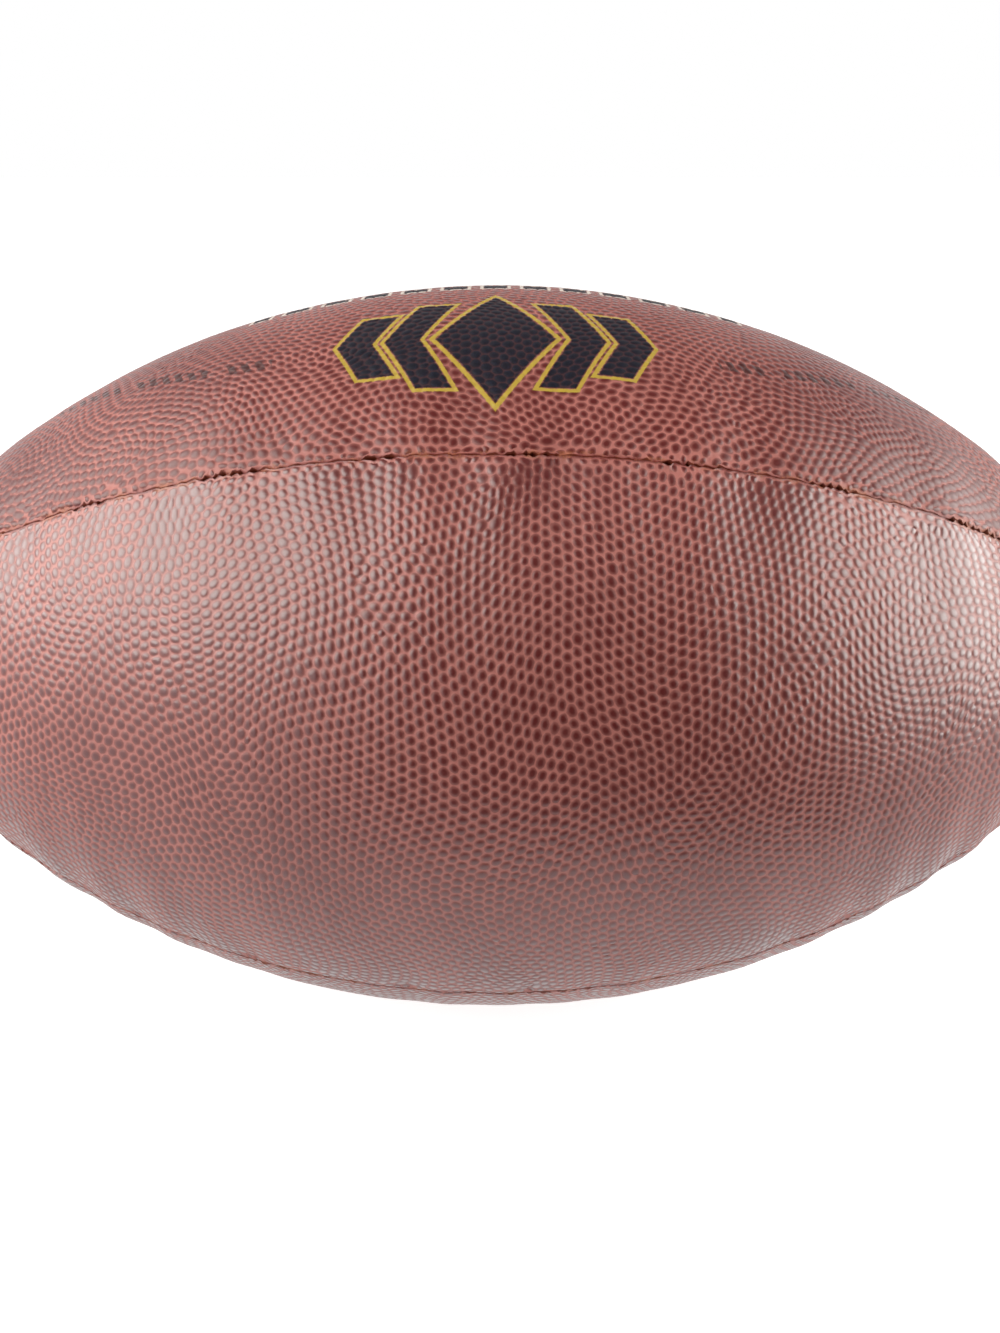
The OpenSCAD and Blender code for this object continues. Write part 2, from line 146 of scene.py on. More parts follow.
class LaceLook(bpy.types.PropertyGroup):
    """Sizes and colours of the lacing"""
    rows: IntProperty(name="Rows", description="Number of crossings", default=8, min=2)
    pitch: length("Row pitch", "From one crossing to the next", 12.6 * MM)
    spread: length("Spread", "Between the two holes of a crossing", 26 * MM)
    end_step: length("End step", "From the last crossing to the end hole", 8.4 * MM)
    width: length("Width", "Width of the lace", 6 * MM)
    thickness: length("Thickness", "Thickness of the lace", 1.6 * MM)
    hole: length("Hole", "Diameter of a lace hole", 5.6 * MM)
    tail: length("Tail", "Length of the end that is tucked in", 11 * MM)
    face: colour("Face", "Colour of the lace", (0.78, 0.74, 0.66))
    worn: colour("Worn", "Colour of the lace where it is dirty", (0.36, 0.30, 0.23))

    def last_crossing(self):
        """From the middle of the lacing to its last crossing."""
        return (self.rows - 1) * self.pitch / 2

    def end_hole(self):
        """From the middle of the lacing to a hole where its long run dives."""
        return self.last_crossing() + self.end_step

    def open_half(self):
        """Half the length over which the laced seam isn't sewn."""
        return self.end_hole() + self.tail


class StageLook(bpy.types.PropertyGroup):
    """Camera, floor and lights"""
    distance: length("Distance", "From the camera to the ball's centre", 395 * MM)
    elevation: angle("Elevation", "Height of the camera above the horizon", 18.8)
    focal: FloatProperty(name="Focal length", description="Lens of the camera, in mm",
                         default=43.95, min=10)
    white: FloatProperty(name="White", description="Strength of the surroundings",
                         default=1.22, min=0)
    ground: FloatProperty(name="Ground", description="Strength of the light from below",
                          default=1.0, min=0)
    ceiling: FloatProperty(name="Ceiling", description="Strength of the room overhead",
                           default=0.2, min=0)
    box_power: FloatProperty(name="Softboxes", description="Power of a small softbox",
                             default=6.4, min=0, unit="POWER")


GROUPS = {"ball_shape": BallShape, "ball_leather": LeatherLook, "ball_lace": LaceLook,
          "ball_stage": StageLook}


class Outline:
    """Half of the ball's section: three arcs that touch, from the belly to a tip."""

    def __init__(self, shape):
        turns = [0.0, shape.belly_angle, shape.shoulder_angle, shape.tip_angle]

        def run(a, b):
            return np.array([math.sin(b) - math.sin(a), math.cos(a) - math.cos(b)])

        belly, shoulder, tip = (run(a, b) for a, b in zip(turns, turns[1:]))
        rest = np.array([shape.half_length, shape.half_diameter])
        rest = rest - shape.shoulder_radius * shoulder
        area = belly[0] * tip[1] - belly[1] * tip[0]
        belly_radius = (rest[0] * tip[1] - rest[1] * tip[0]) / area
        tip_radius = (belly[0] * rest[1] - belly[1] * rest[0]) / area
        self.radii = np.array([belly_radius, shape.shoulder_radius, tip_radius])
        self.turns = np.array(turns)
        centres = [np.array([0.0, shape.half_diameter - belly_radius])]
        for i in (0, 1):
            way = np.array([math.sin(turns[i + 1]), math.cos(turns[i + 1])])
            centres.append(centres[i] + (self.radii[i] - self.radii[i + 1]) * way)
        self.centres = np.array(centres)
        steps = self.radii * np.diff(self.turns)
        self.starts = np.array([0.0, steps[0], steps[0] + steps[1]])
        self.quarter = float(steps.sum())
        short_of_tip = 0.3 * MM
        self.samples = np.linspace(0, self.quarter - short_of_tip, 3000)
        slope = 1 / self.section(self.samples)[1]
        gaps = np.diff(self.samples) * (slope[1:] + slope[:-1]) / 2
        self.flows = np.concatenate([[0.0], np.cumsum(gaps)])

    def section(self, s, depth=0.0):
        """Place along the axis and distance from it, at an arc length and a depth."""
        span = np.minimum(np.abs(s), self.quarter)
        arc = np.clip(np.searchsorted(self.starts, span, side="right") - 1, 0, 2)
        turn = self.turns[arc] + (span - self.starts[arc]) / self.radii[arc]
        reach = self.radii[arc] - depth
        x = np.sign(s) * (self.centres[arc, 0] + reach * np.sin(turn))
        return x, self.centres[arc, 1] + reach * np.cos(turn)

    def flow(self, s):
        """Arc length on the scale on which the skin unrolls without shear."""
        return np.sign(s) * np.interp(np.abs(s), self.samples, self.flows)

    def place(self, s, phi, depth=0.0):
        """Points at arc length s, turned by phi from +Z towards +Y."""
        x, r = self.section(s, depth)
        return np.stack([x, r * np.sin(phi), r * np.cos(phi)], axis=-1)

    def seam_distance(self, s, phi):
        """Distance to the nearer seam plane of the panel round +Z."""
        return self.section(s)[1] * np.sin(SEAM - np.abs(phi))


def smooth(value, low, high):
    """0 below low, 1 above high, and eased between them."""
    t = np.clip((value - low) / (high - low), 0, 1)
    return t * t * (3 - 2 * t)


def unit(v):
    """Vectors along the last axis, brought to length 1."""
    return v / np.linalg.norm(v, axis=-1, keepdims=True)


class Waves:
    """Smooth random waves along a line, the same on each run."""

    def __init__(self, seed, scale, count=7):
        draw = np.random.default_rng(seed)
        self.rates = draw.uniform(0.5, 1.6, count) * 2 * math.pi / scale
        self.shifts = draw.uniform(0, 2 * math.pi, count)

    def __call__(self, s):
        waves = np.sin(np.multiply.outer(s, self.rates) + self.shifts)
        return waves.sum(-1) / math.sqrt(len(self.rates))


class Seam:
    """What both panels of a seam share: how it gapes and how deep it is pulled."""

    # Half the gap where the seam is closed, what a bead of leather adds to it and what
    # gaping adds, and half the gap of the edges that aren't sewn, with its waves
    CLOSED, BEAD, GAPE = 0.04 * MM, 0.12 * MM, 0.5 * MM
    OPEN, OPEN_WAVES = 0.16 * MM, 0.03 * MM
    # From here to there the seams stop gaping towards the tips
    GAPE_END = 118 * MM, 130 * MM
    # How far the line where the panels meet strays
    STRAY = 0.25 * MM

    def __init__(self, shape, lace, number, laced):
        self.shape = shape
        self.lace = lace
        self.laced = laced
        self.zones = Waves(10 + number, 46 * MM)
        self.beads = Waves(20 + number, 2.5 * MM)
        self.strays = Waves(25 + number, 4.4 * MM)
        self.pulls = Waves(30 + number, 30 * MM)
        self.puckers = Waves((40, 41, 42, 1734)[number], 20 * MM)

    def slot(self, s):
        """1 along the lacing, where the edges aren't sewn."""
        half = self.lace.open_half()
        return self.laced * (1 - smooth(np.abs(s), half, half + SLOT_END))

    def notch(self, s):
        """How far the two end holes of the lacing cut into a panel."""
        end = self.lace.end_hole()
        off = np.minimum(np.abs(s - end), np.abs(s + end))
        return self.laced * np.sqrt(np.maximum((self.lace.hole / 2) ** 2 - off ** 2, 0))

    def gap(self, s):
        """Distance of a panel's edge from the middle of the seam."""
        beads = self.beads(s)
        gape = smooth(self.zones(s), 0.2, 0.9) * smooth(beads, -0.3, 0.7)
        gape *= 1 - smooth(np.abs(s), *self.GAPE_END)
        sewn = self.CLOSED + self.BEAD * smooth(beads, 0, 1) + self.GAPE * gape
        open_edge = self.OPEN + self.OPEN_WAVES * beads
        slot = self.slot(s)
        return np.maximum(sewn * (1 - slot) + open_edge * slot, self.notch(s))

    def stray(self, s):
        """How far the line where the panels meet strays towards the seam's own panel."""
        return self.STRAY * self.strays(s) * (1 - self.slot(s))

    def drop(self, s, e):
        """How far the skin lies below the ball's outline, e away from the seam."""
        near = np.clip(1 - e / self.shape.groove_half, 0, 1)
        pulled = self.shape.groove_depth * (1 + 0.25 * self.pulls(s))
        return pulled * near ** 2.2


def joined(parts):
    """Index arrays of the parts of a mesh, after their points are put end to end."""
    starts = np.cumsum([0] + [len(p) for p in parts])
    return [np.arange(a, b) for a, b in zip(starts, starts[1:])]


def triangulated(points, edges, within):
    """Delaunay triangles of points in a plane that keep the given edges.

    within is 1 to fill only what the edges enclose, and 0 to fill all."""
    found = geometry.delaunay_2d_cdt([Vector(p) for p in points], edges, [], within, 1e-9)
    origin = np.array([o[0] for o in found[3]])
    return origin[np.array(found[2])]


def fill(points, loops):
    """Triangles in the points' plane, within the first loop and outside the others."""
    edges = [(int(a), int(b)) for loop in loops for a, b in zip(loop, np.roll(loop, -1))]
    triangles = triangulated(points, edges, 1)
    hole = np.full(len(points), -1)
    for number, loop in enumerate(loops[1:]):
        hole[loop] = number
    corners = hole[triangles]
    same = (corners == corners[:, :1]).all(1)
    triangles = triangles[~(same & (corners[:, 0] >= 0))]
    a, b, c = (points[triangles[:, i]] for i in range(3))
    area = (b - a)[:, 0] * (c - a)[:, 1] - (b - a)[:, 1] * (c - a)[:, 0]
    triangles[area < 0] = triangles[area < 0][:, ::-1]
    return triangles


def strip(ring, other):
    """Faces between two closed rings of as many points."""
    a, b = ring, np.roll(ring, -1)
    c, d = other, np.roll(other, -1)
    return np.concatenate([np.stack([a, c, d], -1), np.stack([a, d, b], -1)])


# What the lips and flanges say for relief, and for their place on a pebble
EDGE_RELIEF, EDGE_PEBBLE = 0.25, (0.76, 0, 0.5)
# What the valleys say for their place on a pebble
VALLEY_PLACE = (1.2, 0)


def new_mesh(name, points, faces, materials, values=None, corners=None):
    """An object made of triangles, in metres.

    Each of the values has one number per point, and each of the corners has one vector
    for each corner of each face."""
    mesh = bpy.data.meshes.new(name)
    mesh.vertices.add(len(points))
    mesh.vertices.foreach_set("co", np.asarray(points, np.float32).ravel())
    mesh.loops.add(3 * len(faces))
    mesh.loops.foreach_set("vertex_index", np.asarray(faces, np.int32).ravel())
    mesh.polygons.add(len(faces))
    mesh.polygons.foreach_set("loop_start", np.arange(0, 3 * len(faces), 3, np.int32))
    mesh.polygons.foreach_set("use_smooth", np.ones(len(faces), bool))
    for key, numbers in (values or {}).items():
        layer = mesh.attributes.new(key, "FLOAT", "POINT")
        layer.data.foreach_set("value", np.asarray(numbers, np.float32))
    for key, vectors in (corners or {}).items():
        layer = mesh.attributes.new(key, "FLOAT_VECTOR", "CORNER")
        layer.data.foreach_set("vector", np.asarray(vectors, np.float32).ravel())
    mesh.update(calc_edges=True)
    if mesh.validate():
        raise RuntimeError(f"{name}: the mesh had faults")
    for material in materials:
        mesh.materials.append(material)
    piece = bpy.data.objects.new(name, mesh)
    bpy.context.scene.collection.objects.link(piece)
    return piece


def pebbled(triangles, is_pebble, size):
    """Splits triangles between pebbles' centres into cells with a dome each.

    Returns the mixes that make the new points, the faces, and the pebble that each
    face belongs to or -1. The new points are the low corners, the saddles and the
    domes' inner rings, in that order."""
    count = len(is_pebble)
    weights = 1 / size[triangles]
    weights /= weights.sum(1, keepdims=True)
    corners = count + np.arange(len(triangles))
    sides = np.concatenate([triangles[:, [i, (i + 1) % 3]] for i in range(3)])
    key = np.sort(sides, axis=1)
    unique, which = np.unique(key, axis=0, return_inverse=True)
    which = which.reshape(-1)
    split = is_pebble[unique].any(1)
    saddle_number = np.full(len(unique), -1)
    saddle_number[split] = corners[-1] + 1 + np.arange(split.sum())
    pairs = unique[split]
    pair_weights = size[pairs][:, ::-1] / size[pairs].sum(1, keepdims=True)
    saddle = saddle_number[which].reshape(3, -1).T
    domed = is_pebble[triangles]
    inner = np.full(triangles.shape, -1)
    first_inner = corners[-1] + 1 + len(pairs)
    inner[domed] = first_inner + np.arange(domed.sum())
    rows, columns = np.nonzero(domed)
    faces, owners = [], []
    for i in range(3):
        here, after, before = triangles[:, i], saddle[:, i], saddle[:, (i + 2) % 3]
        on = domed[:, i]
        dome = inner[:, i]
        off, cut = ~on, after >= 0
        for chosen, face in (
                (on, (dome, after, corners)), (on, (dome, corners, before)),
                (off & cut, (here, after, corners)),
                (off & ~cut, (here, triangles[:, (i + 1) % 3], corners)),
                (off & (before >= 0), (here, corners, before))):
            faces.append(np.stack(face, -1)[chosen])
            owners.append(np.where(on, here, -1)[chosen])
    # Both triangles of a side give each of its pebbles one point of its inner ring
    left = {}
    for i in range(3):
        for t, (a, b) in enumerate(triangles[:, [i, (i + 1) % 3]].tolist()):
            left[a, b] = (t, i)
    fans = []
    for (a, b), (t, i) in left.items():
        if not is_pebble[a] or (b, a) not in left:
            continue
        other, j = left[b, a]
        mine, theirs = inner[t, i], inner[other, (j + 1) % 3]
        fans.append((a, theirs, mine, a))
        fans.append((theirs, saddle[t, i], mine, a))
    fans = np.array(fans)
    faces.append(fans[:, :3])
    owners.append(fans[:, 3])
    mixes = (triangles, weights), (pairs, pair_weights), (rows, columns)
    return mixes, np.concatenate(faces), np.concatenate(owners)


def roundings(centres, pairs, saddles, merged):
    """For each pebble the matrix that makes its cell about a unit circle.

    Where a pebble runs into its neighbours, its cell is shrunk that way, so that its
    top reaches its ends."""
    spread = np.zeros((len(centres), 2, 2))
    runs = np.zeros((len(centres), 2, 2))
    count = np.zeros(len(centres))
    for end in (0, 1):
        off = saddles - centres[pairs[:, end]]
        square = off[:, :, None] * off[:, None, :]
        reach = (off ** 2).sum(1)[:, None, None]
        np.add.at(spread, pairs[:, end], square)
        np.add.at(runs, pairs[:, end], merged[:, None, None] * square / reach)
        np.add.at(count, pairs[:, end], 1)
    spread = 2 * spread / np.maximum(count, 1)[:, None, None]
    values, axes = np.linalg.eigh(spread + 1e-10 * np.eye(2))
    rounded = (axes / np.sqrt(values)[:, None, :]) @ axes.transpose(0, 2, 1)
    return rounded @ (np.eye(2) - 0.5 * np.clip(runs / 2, -1, 1))


class Surface:
    """The points of a mesh with their values, which are added ring by ring."""

    def __init__(self, outline):
        self.outline, self.total = outline, 0
        self.parts, self.values = [], {"relief": [], "seam": [], "raw": []}

    def add(self, s, phi, depth, *values):
        """Adds points of the skin with their values, and gives their numbers."""
        self.parts.append(self.outline.place(s, phi, depth))
        for numbers, value in zip(self.values.values(), values):
            numbers.append(np.broadcast_to(value, len(s)))
        self.total += len(s)
        return np.arange(self.total - len(s), self.total)

    def wall(self, before, rings, raw):
        """Strips from a ring of points through further rings, each with its share of
        raw leather: the faces, and the last ring's numbers."""
        faces = []
        for ring, share_raw in zip(rings, raw):
            numbers = self.add(*ring, EDGE_RELIEF, 0.0, share_raw)
            faces.append(strip(before, numbers))
            before = numbers
        return faces, before


class PanelSkin:
    """The mesh of one panel: pebbled outside, turned-in edges, holes, smooth inside."""

    # Width of the rounded lip of an edge, and how much that varies
    LIP, LIP_WAVES = 0.17 * MM, 0.03 * MM
    # From a tip to the panel's end, along the skin
    TIP_ROOM = 1.3 * MM
    # Depths, as shares of the relief: of the points of the rim, of the corners between
    # three pebbles, of the saddles between two, and how far merging lifts a saddle
    RIM_SHARE, CORNER_SHARE, SADDLE_SHARE, MERGED_SHARE = 0.75, 1.0, 0.8, 0.55
    # The ring where a pebble's flat top ends: how far out in its cell, and how deep
    TOP_REACH, TOP_SHARE = 0.68, 0.12
    # A lace hole or the valve hole: number of points round it
    ROUND_POINTS = 20
    # Spacing of the points of the smooth inner face
    INNER_GRID = 8 * MM

    def __init__(self, name, shape, leather, lace, outline, seams):
        self.shape, self.leather, self.lace, self.outline = shape, leather, lace, outline
        self.number, self.laced = PANELS[name]
        # The rows of pebbles run along the top and bottom panels, across the others
        self.rows_along = self.number % 2 == 0
        self.seams = {1: seams[self.number], -1: seams[(self.number + 3) % 4]}
        self.draw = np.random.default_rng(100 + self.number)
        self.end = outline.quarter - self.TIP_ROOM
        self.centres = self.hole_centres(name)
        self.points, self.faces, self.values, self.pebble = self.build()

    def hole_centres(self, name):
        """Arc length, angle and radius of each round hole."""
        lace, shape = self.lace, self.shape
        holes = []
        if self.laced:
            turn = self.laced * (SEAM - lace.spread / 2 / shape.half_diameter)
            holes = [(row * lace.pitch - lace.last_crossing(), turn, lace.hole / 2)
                     for row in range(lace.rows)]
        if name == "panel_back":
            holes.append((0.0, 0.0, shape.valve_hole / 2))
        return holes

    def unrolled(self, places):
        """Places on the skin in the plane on which it is triangulated."""
        return np.stack([self.outline.flow(places[:, 0]), places[:, 1]], -1)

    def in_metres(self, places):
        """Factors that turn steps of arc length and angle at places into metres."""
        return np.stack([np.ones(len(places)), self.outline.section(places[:, 0])[1]], -1)

    def circle(self, hole, extra):
        """Arc lengths and angles of a ring round a hole, wider by extra."""
        s0, phi0, radius = hole
        turns = np.linspace(0, 2 * math.pi, self.ROUND_POINTS + 1)[:-1]
        s = s0 + (radius + extra) * np.cos(turns)
        return s, phi0 + (radius + extra) * np.sin(turns) / self.outline.section(s)[1]

    def room(self, s, low):
        """Factor that shrinks the edges' form where the panel runs out at a tip."""
        return low + (1 - low) * smooth(self.outline.section(s)[1], 1.5 * MM, 9 * MM)

    def by_side(self, phi, method, *arguments):
        """A number of the seam on the side where each point lies."""
        plus = getattr(self.seams[1], method)(*arguments)
        minus = getattr(self.seams[-1], method)(*arguments)
        return np.where(phi > 0, plus, minus)

    def skin_depth(self, s, phi):
        """Depth of the skin below the outline, without its pebbles."""
        e = self.outline.seam_distance(s, phi)
        depth = self.by_side(phi, "drop", s, e) * self.room(s, 0.35)
        puckers = self.by_side(phi, "puckers", s)
        fade = np.exp(-e / (17 * MM)) * smooth(e, 0, 2 * MM) * self.room(s, 0)
        crease = self.leather.pucker * (0.55 + 0.45 * puckers) * fade
        broad = 0.12 * MM * (1 + Waves(50 + self.number, 90 * MM)(s + 0.4 * e)) / 2
        depth = depth + np.maximum(crease, 0) + broad * smooth(e, 0, 20 * MM)
        if self.number == 0:
            # The top panel's edge stands up beside the upper front seam's outer parts
            ridge = np.exp(-((e - 1.6 * MM) / (0.9 * MM)) ** 2) * (phi < 0)
            far = smooth(np.abs(s), 62 * MM, 76 * MM) * self.room(s, 0)
            depth = depth - 0.3 * MM * ridge * far
        return depth

    def side_places(self, side):
        """Arc lengths of the edge's points on one side, closer at a notch."""
        step = 0.6 * MM
        places = np.linspace(-self.end, self.end, int(2 * self.end / step) | 1)
        whole = np.arange(len(places)) % 2 == 0
        places = places[whole | (self.seams[side].zones(places) > 0.15)]
        if side != self.laced:
            return places
        end, radius = self.lace.end_hole(), self.lace.hole / 2
        near = np.linspace(-radius, radius, 15) * 1.02
        off = np.minimum(np.abs(places - end), np.abs(places + end))
        places = places[off > radius * 1.15]
        return np.sort(np.concatenate([places, near - end, near + end]))

    def rings(self):
        """Each ring of the edge as the share of the way from the gap to the skin's
        rim, the distance past the gap, and the depth as a rule of the flange."""
        cover = self.shape.cover
        return [
            (1.0, 0.0, None), (0.66, 0.0, None), (0.36, 0.0, None), (0.14, 0.0, None),
            (0.0, 0.0, lambda f: 1.75 * MM + 0 * f),
            (0.0, 0.0, lambda f: np.minimum(0.6 * f, 3.2 * MM)),
            (0.0, 0.0, lambda f: np.maximum(f - 0.35 * MM, 1.8 * MM)),
            (0.0, 0.4 * MM, lambda f: f),
            (0.0, cover - 0.4 * MM, lambda f: f),
            (0.0, cover, lambda f: np.maximum(f - 0.35 * MM, cover)),
            (0.0, cover, lambda f: cover + np.minimum(0.9 * MM, 0.4 * (f - cover))),
            (0.0, cover + 0.3 * MM, lambda f: cover + np.minimum(0.25 * MM,
                                                                 0.2 * (f - cover))),
            (0.0, cover + 0.9 * MM, lambda f: cover + 0 * f),
        ]

    def edge_rings(self):
        """Arc lengths, angles and depths of all rings of the edge, one row a ring."""
        outline, shape = self.outline, self.shape
        sides = {}
        for side in (-1, 1):
            s, seam = self.side_places(side), self.seams[side]
            waves = Waves(60 + self.number * 2 + (side > 0), 5 * MM)
            room = self.room(s, 0.3)
            gap = np.maximum(seam.gap(s), 0.03 * MM)
            rim = gap + (self.LIP + self.LIP_WAVES * waves(s)) * room
            flange = shape.cover + (shape.allowance - shape.cover) * (
                (1 - seam.slot(s)) * smooth(outline.section(s)[1], 3 * MM, 9 * MM))
            sides[side] = (s, gap, rim, room, flange)
        rows = []
        for reach, past, rule in self.rings():
            parts = {}
            for side, (s, gap, rim, room, flange) in sides.items():
                e = gap + reach * (rim - gap) + past * room
                if rule is None:
                    e = e + side * self.seams[side].stray(s) * self.room(s, 0)
                depth = (self.seams[side].drop(s, e) * self.room(s, 0.35) if rule is None
                         else rule(flange))
                r = outline.section(s, depth)[1]
                e = np.minimum(e, 0.62 * r)
                parts[side] = (s, side * (SEAM - np.arcsin(e / r)), depth)
            bulge = (1 - reach) * 0.5 * MM - past * 0.4
            rows.append(self.closed(parts[-1], parts[1], bulge))
        return rows

    @staticmethod
    def closed(low, high, bulge):
        """One ring from the rows of both sides, with three points across each tip that
        bulge towards it."""
        caps, f = [], np.array([0.25, 0.5, 0.75])
        for end in (-1, 0):
            s = low[0][end] + np.sign(low[0][end]) * bulge * np.sin(np.pi * f)
            phi, depth = (low[k][end] + (high[k][end] - low[k][end]) * f for k in (1, 2))
            caps.append((s, phi, depth))
        return [np.concatenate([low[k], caps[0][k], high[k][::-1], caps[1][k][::-1]])
                for k in range(3)]

    def drift(self, s, t):
        """How far the rows of pebbles wander, across the panel and along it.

        Each wave moves them at right angles to its travel, so none are crowded."""
        draw = np.random.default_rng(90 + self.number)
        across, along = 0 * t, 0 * t
        for turn in np.radians(np.arange(0, 360, 45) + 20 + 25 * self.number):
            travel = s * math.cos(turn) + t * math.sin(turn)
            scale, shift = draw.uniform(24, 60) * MM, draw.uniform(0, 2 * math.pi)
            wave = np.sin(travel * 2 * math.pi / scale + shift) * scale / (42 * MM)
            across = across + wave * math.cos(turn) * self.leather.wander
            along = along - wave * math.sin(turn) * self.leather.wander
        return across, along

    def lattice(self):
        """Places of a staggered lattice of pebbles, each strayed and drifted."""
        pitch, outline = self.leather.pitch, self.outline
        stretch = 1.08
        column = pitch * math.sqrt(3) / 2 / stretch
        reach = [self.end, SEAM * self.shape.half_diameter]
        if self.rows_along:
            reach = reach[::-1]
        number, count = int(reach[0] / column) + 2, int(reach[1] / pitch) + 2
        places = []
        for k in range(-number, number + 1):
            t = (np.arange(-count, count + 1) + 0.5 * (k % 2)) * pitch * stretch
            s = np.full(len(t), k * column)
            if self.rows_along:
                s, t = t, s
            stray = self.draw.normal(0, self.leather.jitter * pitch, (len(t), 2))
            drift = self.drift(s, t)
            t = t + stray[:, 0] + drift[0]
            s = s + stray[:, 1] + drift[1]
            r = np.maximum(outline.section(s)[1], 1 * MM)
            inside = (np.abs(t) < SEAM * r + 1.5 * pitch) & (np.abs(s) < self.end)
            places.append(np.stack([s, t / r], -1)[inside])
        return np.concatenate(places)

    def pebbles(self):
        """Centres of the pebbles, clear of the panel's edges and holes."""
        pitch, outline = self.leather.pitch, self.outline
        places = self.lattice()
        beside = self.beside_seams()
        scale = np.array([1.0, self.shape.half_diameter])
        for row in beside:
            off = np.linalg.norm((places[:, None] - row[None]) * scale, axis=-1)
            places = places[off.min(1) > 0.6 * pitch]
        free = len(places)
        places = self.relaxed(np.concatenate([places, *beside]), free)
        places = places[np.abs(places[:, 1]) < SEAM]
        s, phi = places.T
        edge = np.zeros(len(s))
        for side in (1, -1):
            seam, mine = self.seams[side], (phi > 0) == (side > 0)
            rim = seam.gap(s[mine]) + side * seam.stray(s[mine]) + self.LIP
            edge[mine] = outline.seam_distance(s[mine], phi[mine]) - rim
        keep = (edge > 0.17 * pitch) & (np.abs(s) < self.end - 0.5 * pitch)
        r = outline.section(s)[1]
        for s0, phi0, radius in self.centres:
            off = np.hypot(s - s0, (phi - phi0) * r)
            keep &= off > radius + 0.35 * MM + 0.45 * pitch
        return places[keep]

    def relaxed(self, places, free):
        """The pebbles, the free ones pushed to about a pitch from their neighbours."""
        pitch = self.leather.pitch
        for _ in range(5):
            r = self.outline.section(places[:, 0])[1]
            triangles = triangulated(self.unrolled(places), [], 0)
            sides = np.concatenate([triangles[:, [i, (i + 1) % 3]] for i in range(3)])
            a, b = np.unique(np.sort(sides, axis=1), axis=0).T
            off = places[b] - places[a]
            off[:, 1] *= (r[a] + r[b]) / 2
            apart = np.linalg.norm(off, axis=1)
            push = np.clip(1.02 * pitch - apart, -0.2 * pitch, 0.4 * pitch) * 0.2
            push[apart > 1.6 * pitch] = 0
            push = off * (push / apart)[:, None]
            move = np.zeros_like(places)
            np.add.at(move, a, -push)
            np.add.at(move, b, push)
            move[free:] = 0
            places = places + move / np.stack([np.ones(len(r)), r], -1)
        return places

    def beside_seams(self):
        """A row of pebbles close to each seam, which the real grain has too."""
        pitch, rows = self.leather.pitch, []
        for side in (1, -1):
            s = np.arange(-self.end + 2 * MM, self.end - 2 * MM, 0.96 * pitch)
            s = s + self.draw.normal(0, 0.12 * pitch, len(s))
            reach = self.LIP + (0.36 + 0.05 * self.draw.normal(0, 1, len(s))) * pitch
            e = self.seams[side].gap(s) + side * self.seams[side].stray(s)
            e = e + reach * self.room(s, 0.3)
            r = self.outline.section(s)[1]
            phi = side * (SEAM - np.arcsin(np.minimum(e / r, 0.6)))
            rows.append(np.stack([s, phi], -1)[r > 6 * MM])
        return rows

    def merge(self, s, phi, way):
        """How far neighbouring pebbles run into ridges, from 0 to 1."""
        if self.rows_along:
            far = smooth(np.abs(s), 40 * MM, 85 * MM)
            patch = Waves(80 + self.number, 55 * MM)(s * 0.7 + phi * 30 * MM)
            return np.abs(way[:, 0]) ** 3 * (0.3 + 0.7 * far) * smooth(patch, -0.7, 0.5)
        e = self.outline.seam_distance(s, phi)
        waves = Waves(70 + self.number, 34 * MM)(s + 0.5 * e)
        return np.abs(way[:, 1]) ** 3 * np.exp(-e / (16 * MM)) * smooth(waves, -0.3, 0.7)

    def cells(self, flat, pairs, saddles, merged, corners, owners):
        """Each corner's place on its pebble's unit circle, and the pebble's own draw."""
        scale = self.in_metres(flat)
        matrices = np.zeros((len(flat) + 1, 2, 2))
        matrices[:-1] = roundings(flat * scale, pairs, saddles * self.in_metres(saddles),
                                  merged)
        off = (corners - flat[owners][:, None]) * scale[owners][:, None]
        cells = (matrices[owners][:, None] @ off[..., None])[..., 0]
        cells[owners < 0] = VALLEY_PLACE
        draws = self.draw.uniform(0, 1, len(flat) + 1)[owners]
        draws[owners < 0] = 0.5
        draws = np.broadcast_to(draws[:, None, None], cells.shape[:2] + (1,))
        return np.concatenate([cells, draws], -1)

    def outside(self, surface, rim):
        """The pebbled skin within a rim: its faces, the places of their corners on the
        pebbles, and the numbers of the points on the rim and round each hole."""
        outline = self.outline
        places = self.pebbles()
        extra, lip_depth = self.hole_rings()[0]
        loops = [np.stack(rim[:2], -1)]
        loops += [np.stack(self.circle(hole, extra), -1) for hole in self.centres]
        flat = np.concatenate([places] + loops)
        slots = joined([places] + loops)
        is_pebble = np.arange(len(flat)) < len(places)
        size = np.where(is_pebble, self.draw.uniform(0.78, 1.25, len(flat)), 1.0)
        mixes, faces, owners = pebbled(fill(self.unrolled(flat), slots[1:]), is_pebble,
                                       size)
        (tri, tri_weights), (pairs, pair_weights), (rows_in, columns_in) = mixes
        low = (flat[tri] * tri_weights[..., None]).sum(1)
        saddles = (flat[pairs] * pair_weights[..., None]).sum(1)
        top_number = tri[rows_in, columns_in]
        tops = flat[top_number]
        inner = tops + self.TOP_REACH * (low[rows_in] - tops)
        skin = np.concatenate([flat, low, saddles, inner])
        way = flat[pairs[:, 1]] - flat[pairs[:, 0]]
        way[:, 1] *= outline.section(saddles[:, 0])[1]
        merged = self.merge(*saddles.T, unit(way))
        cells = self.cells(flat, pairs, saddles, merged, skin[faces], owners)
        tops_sunk = self.draw.uniform(0.0, 0.16, len(flat))
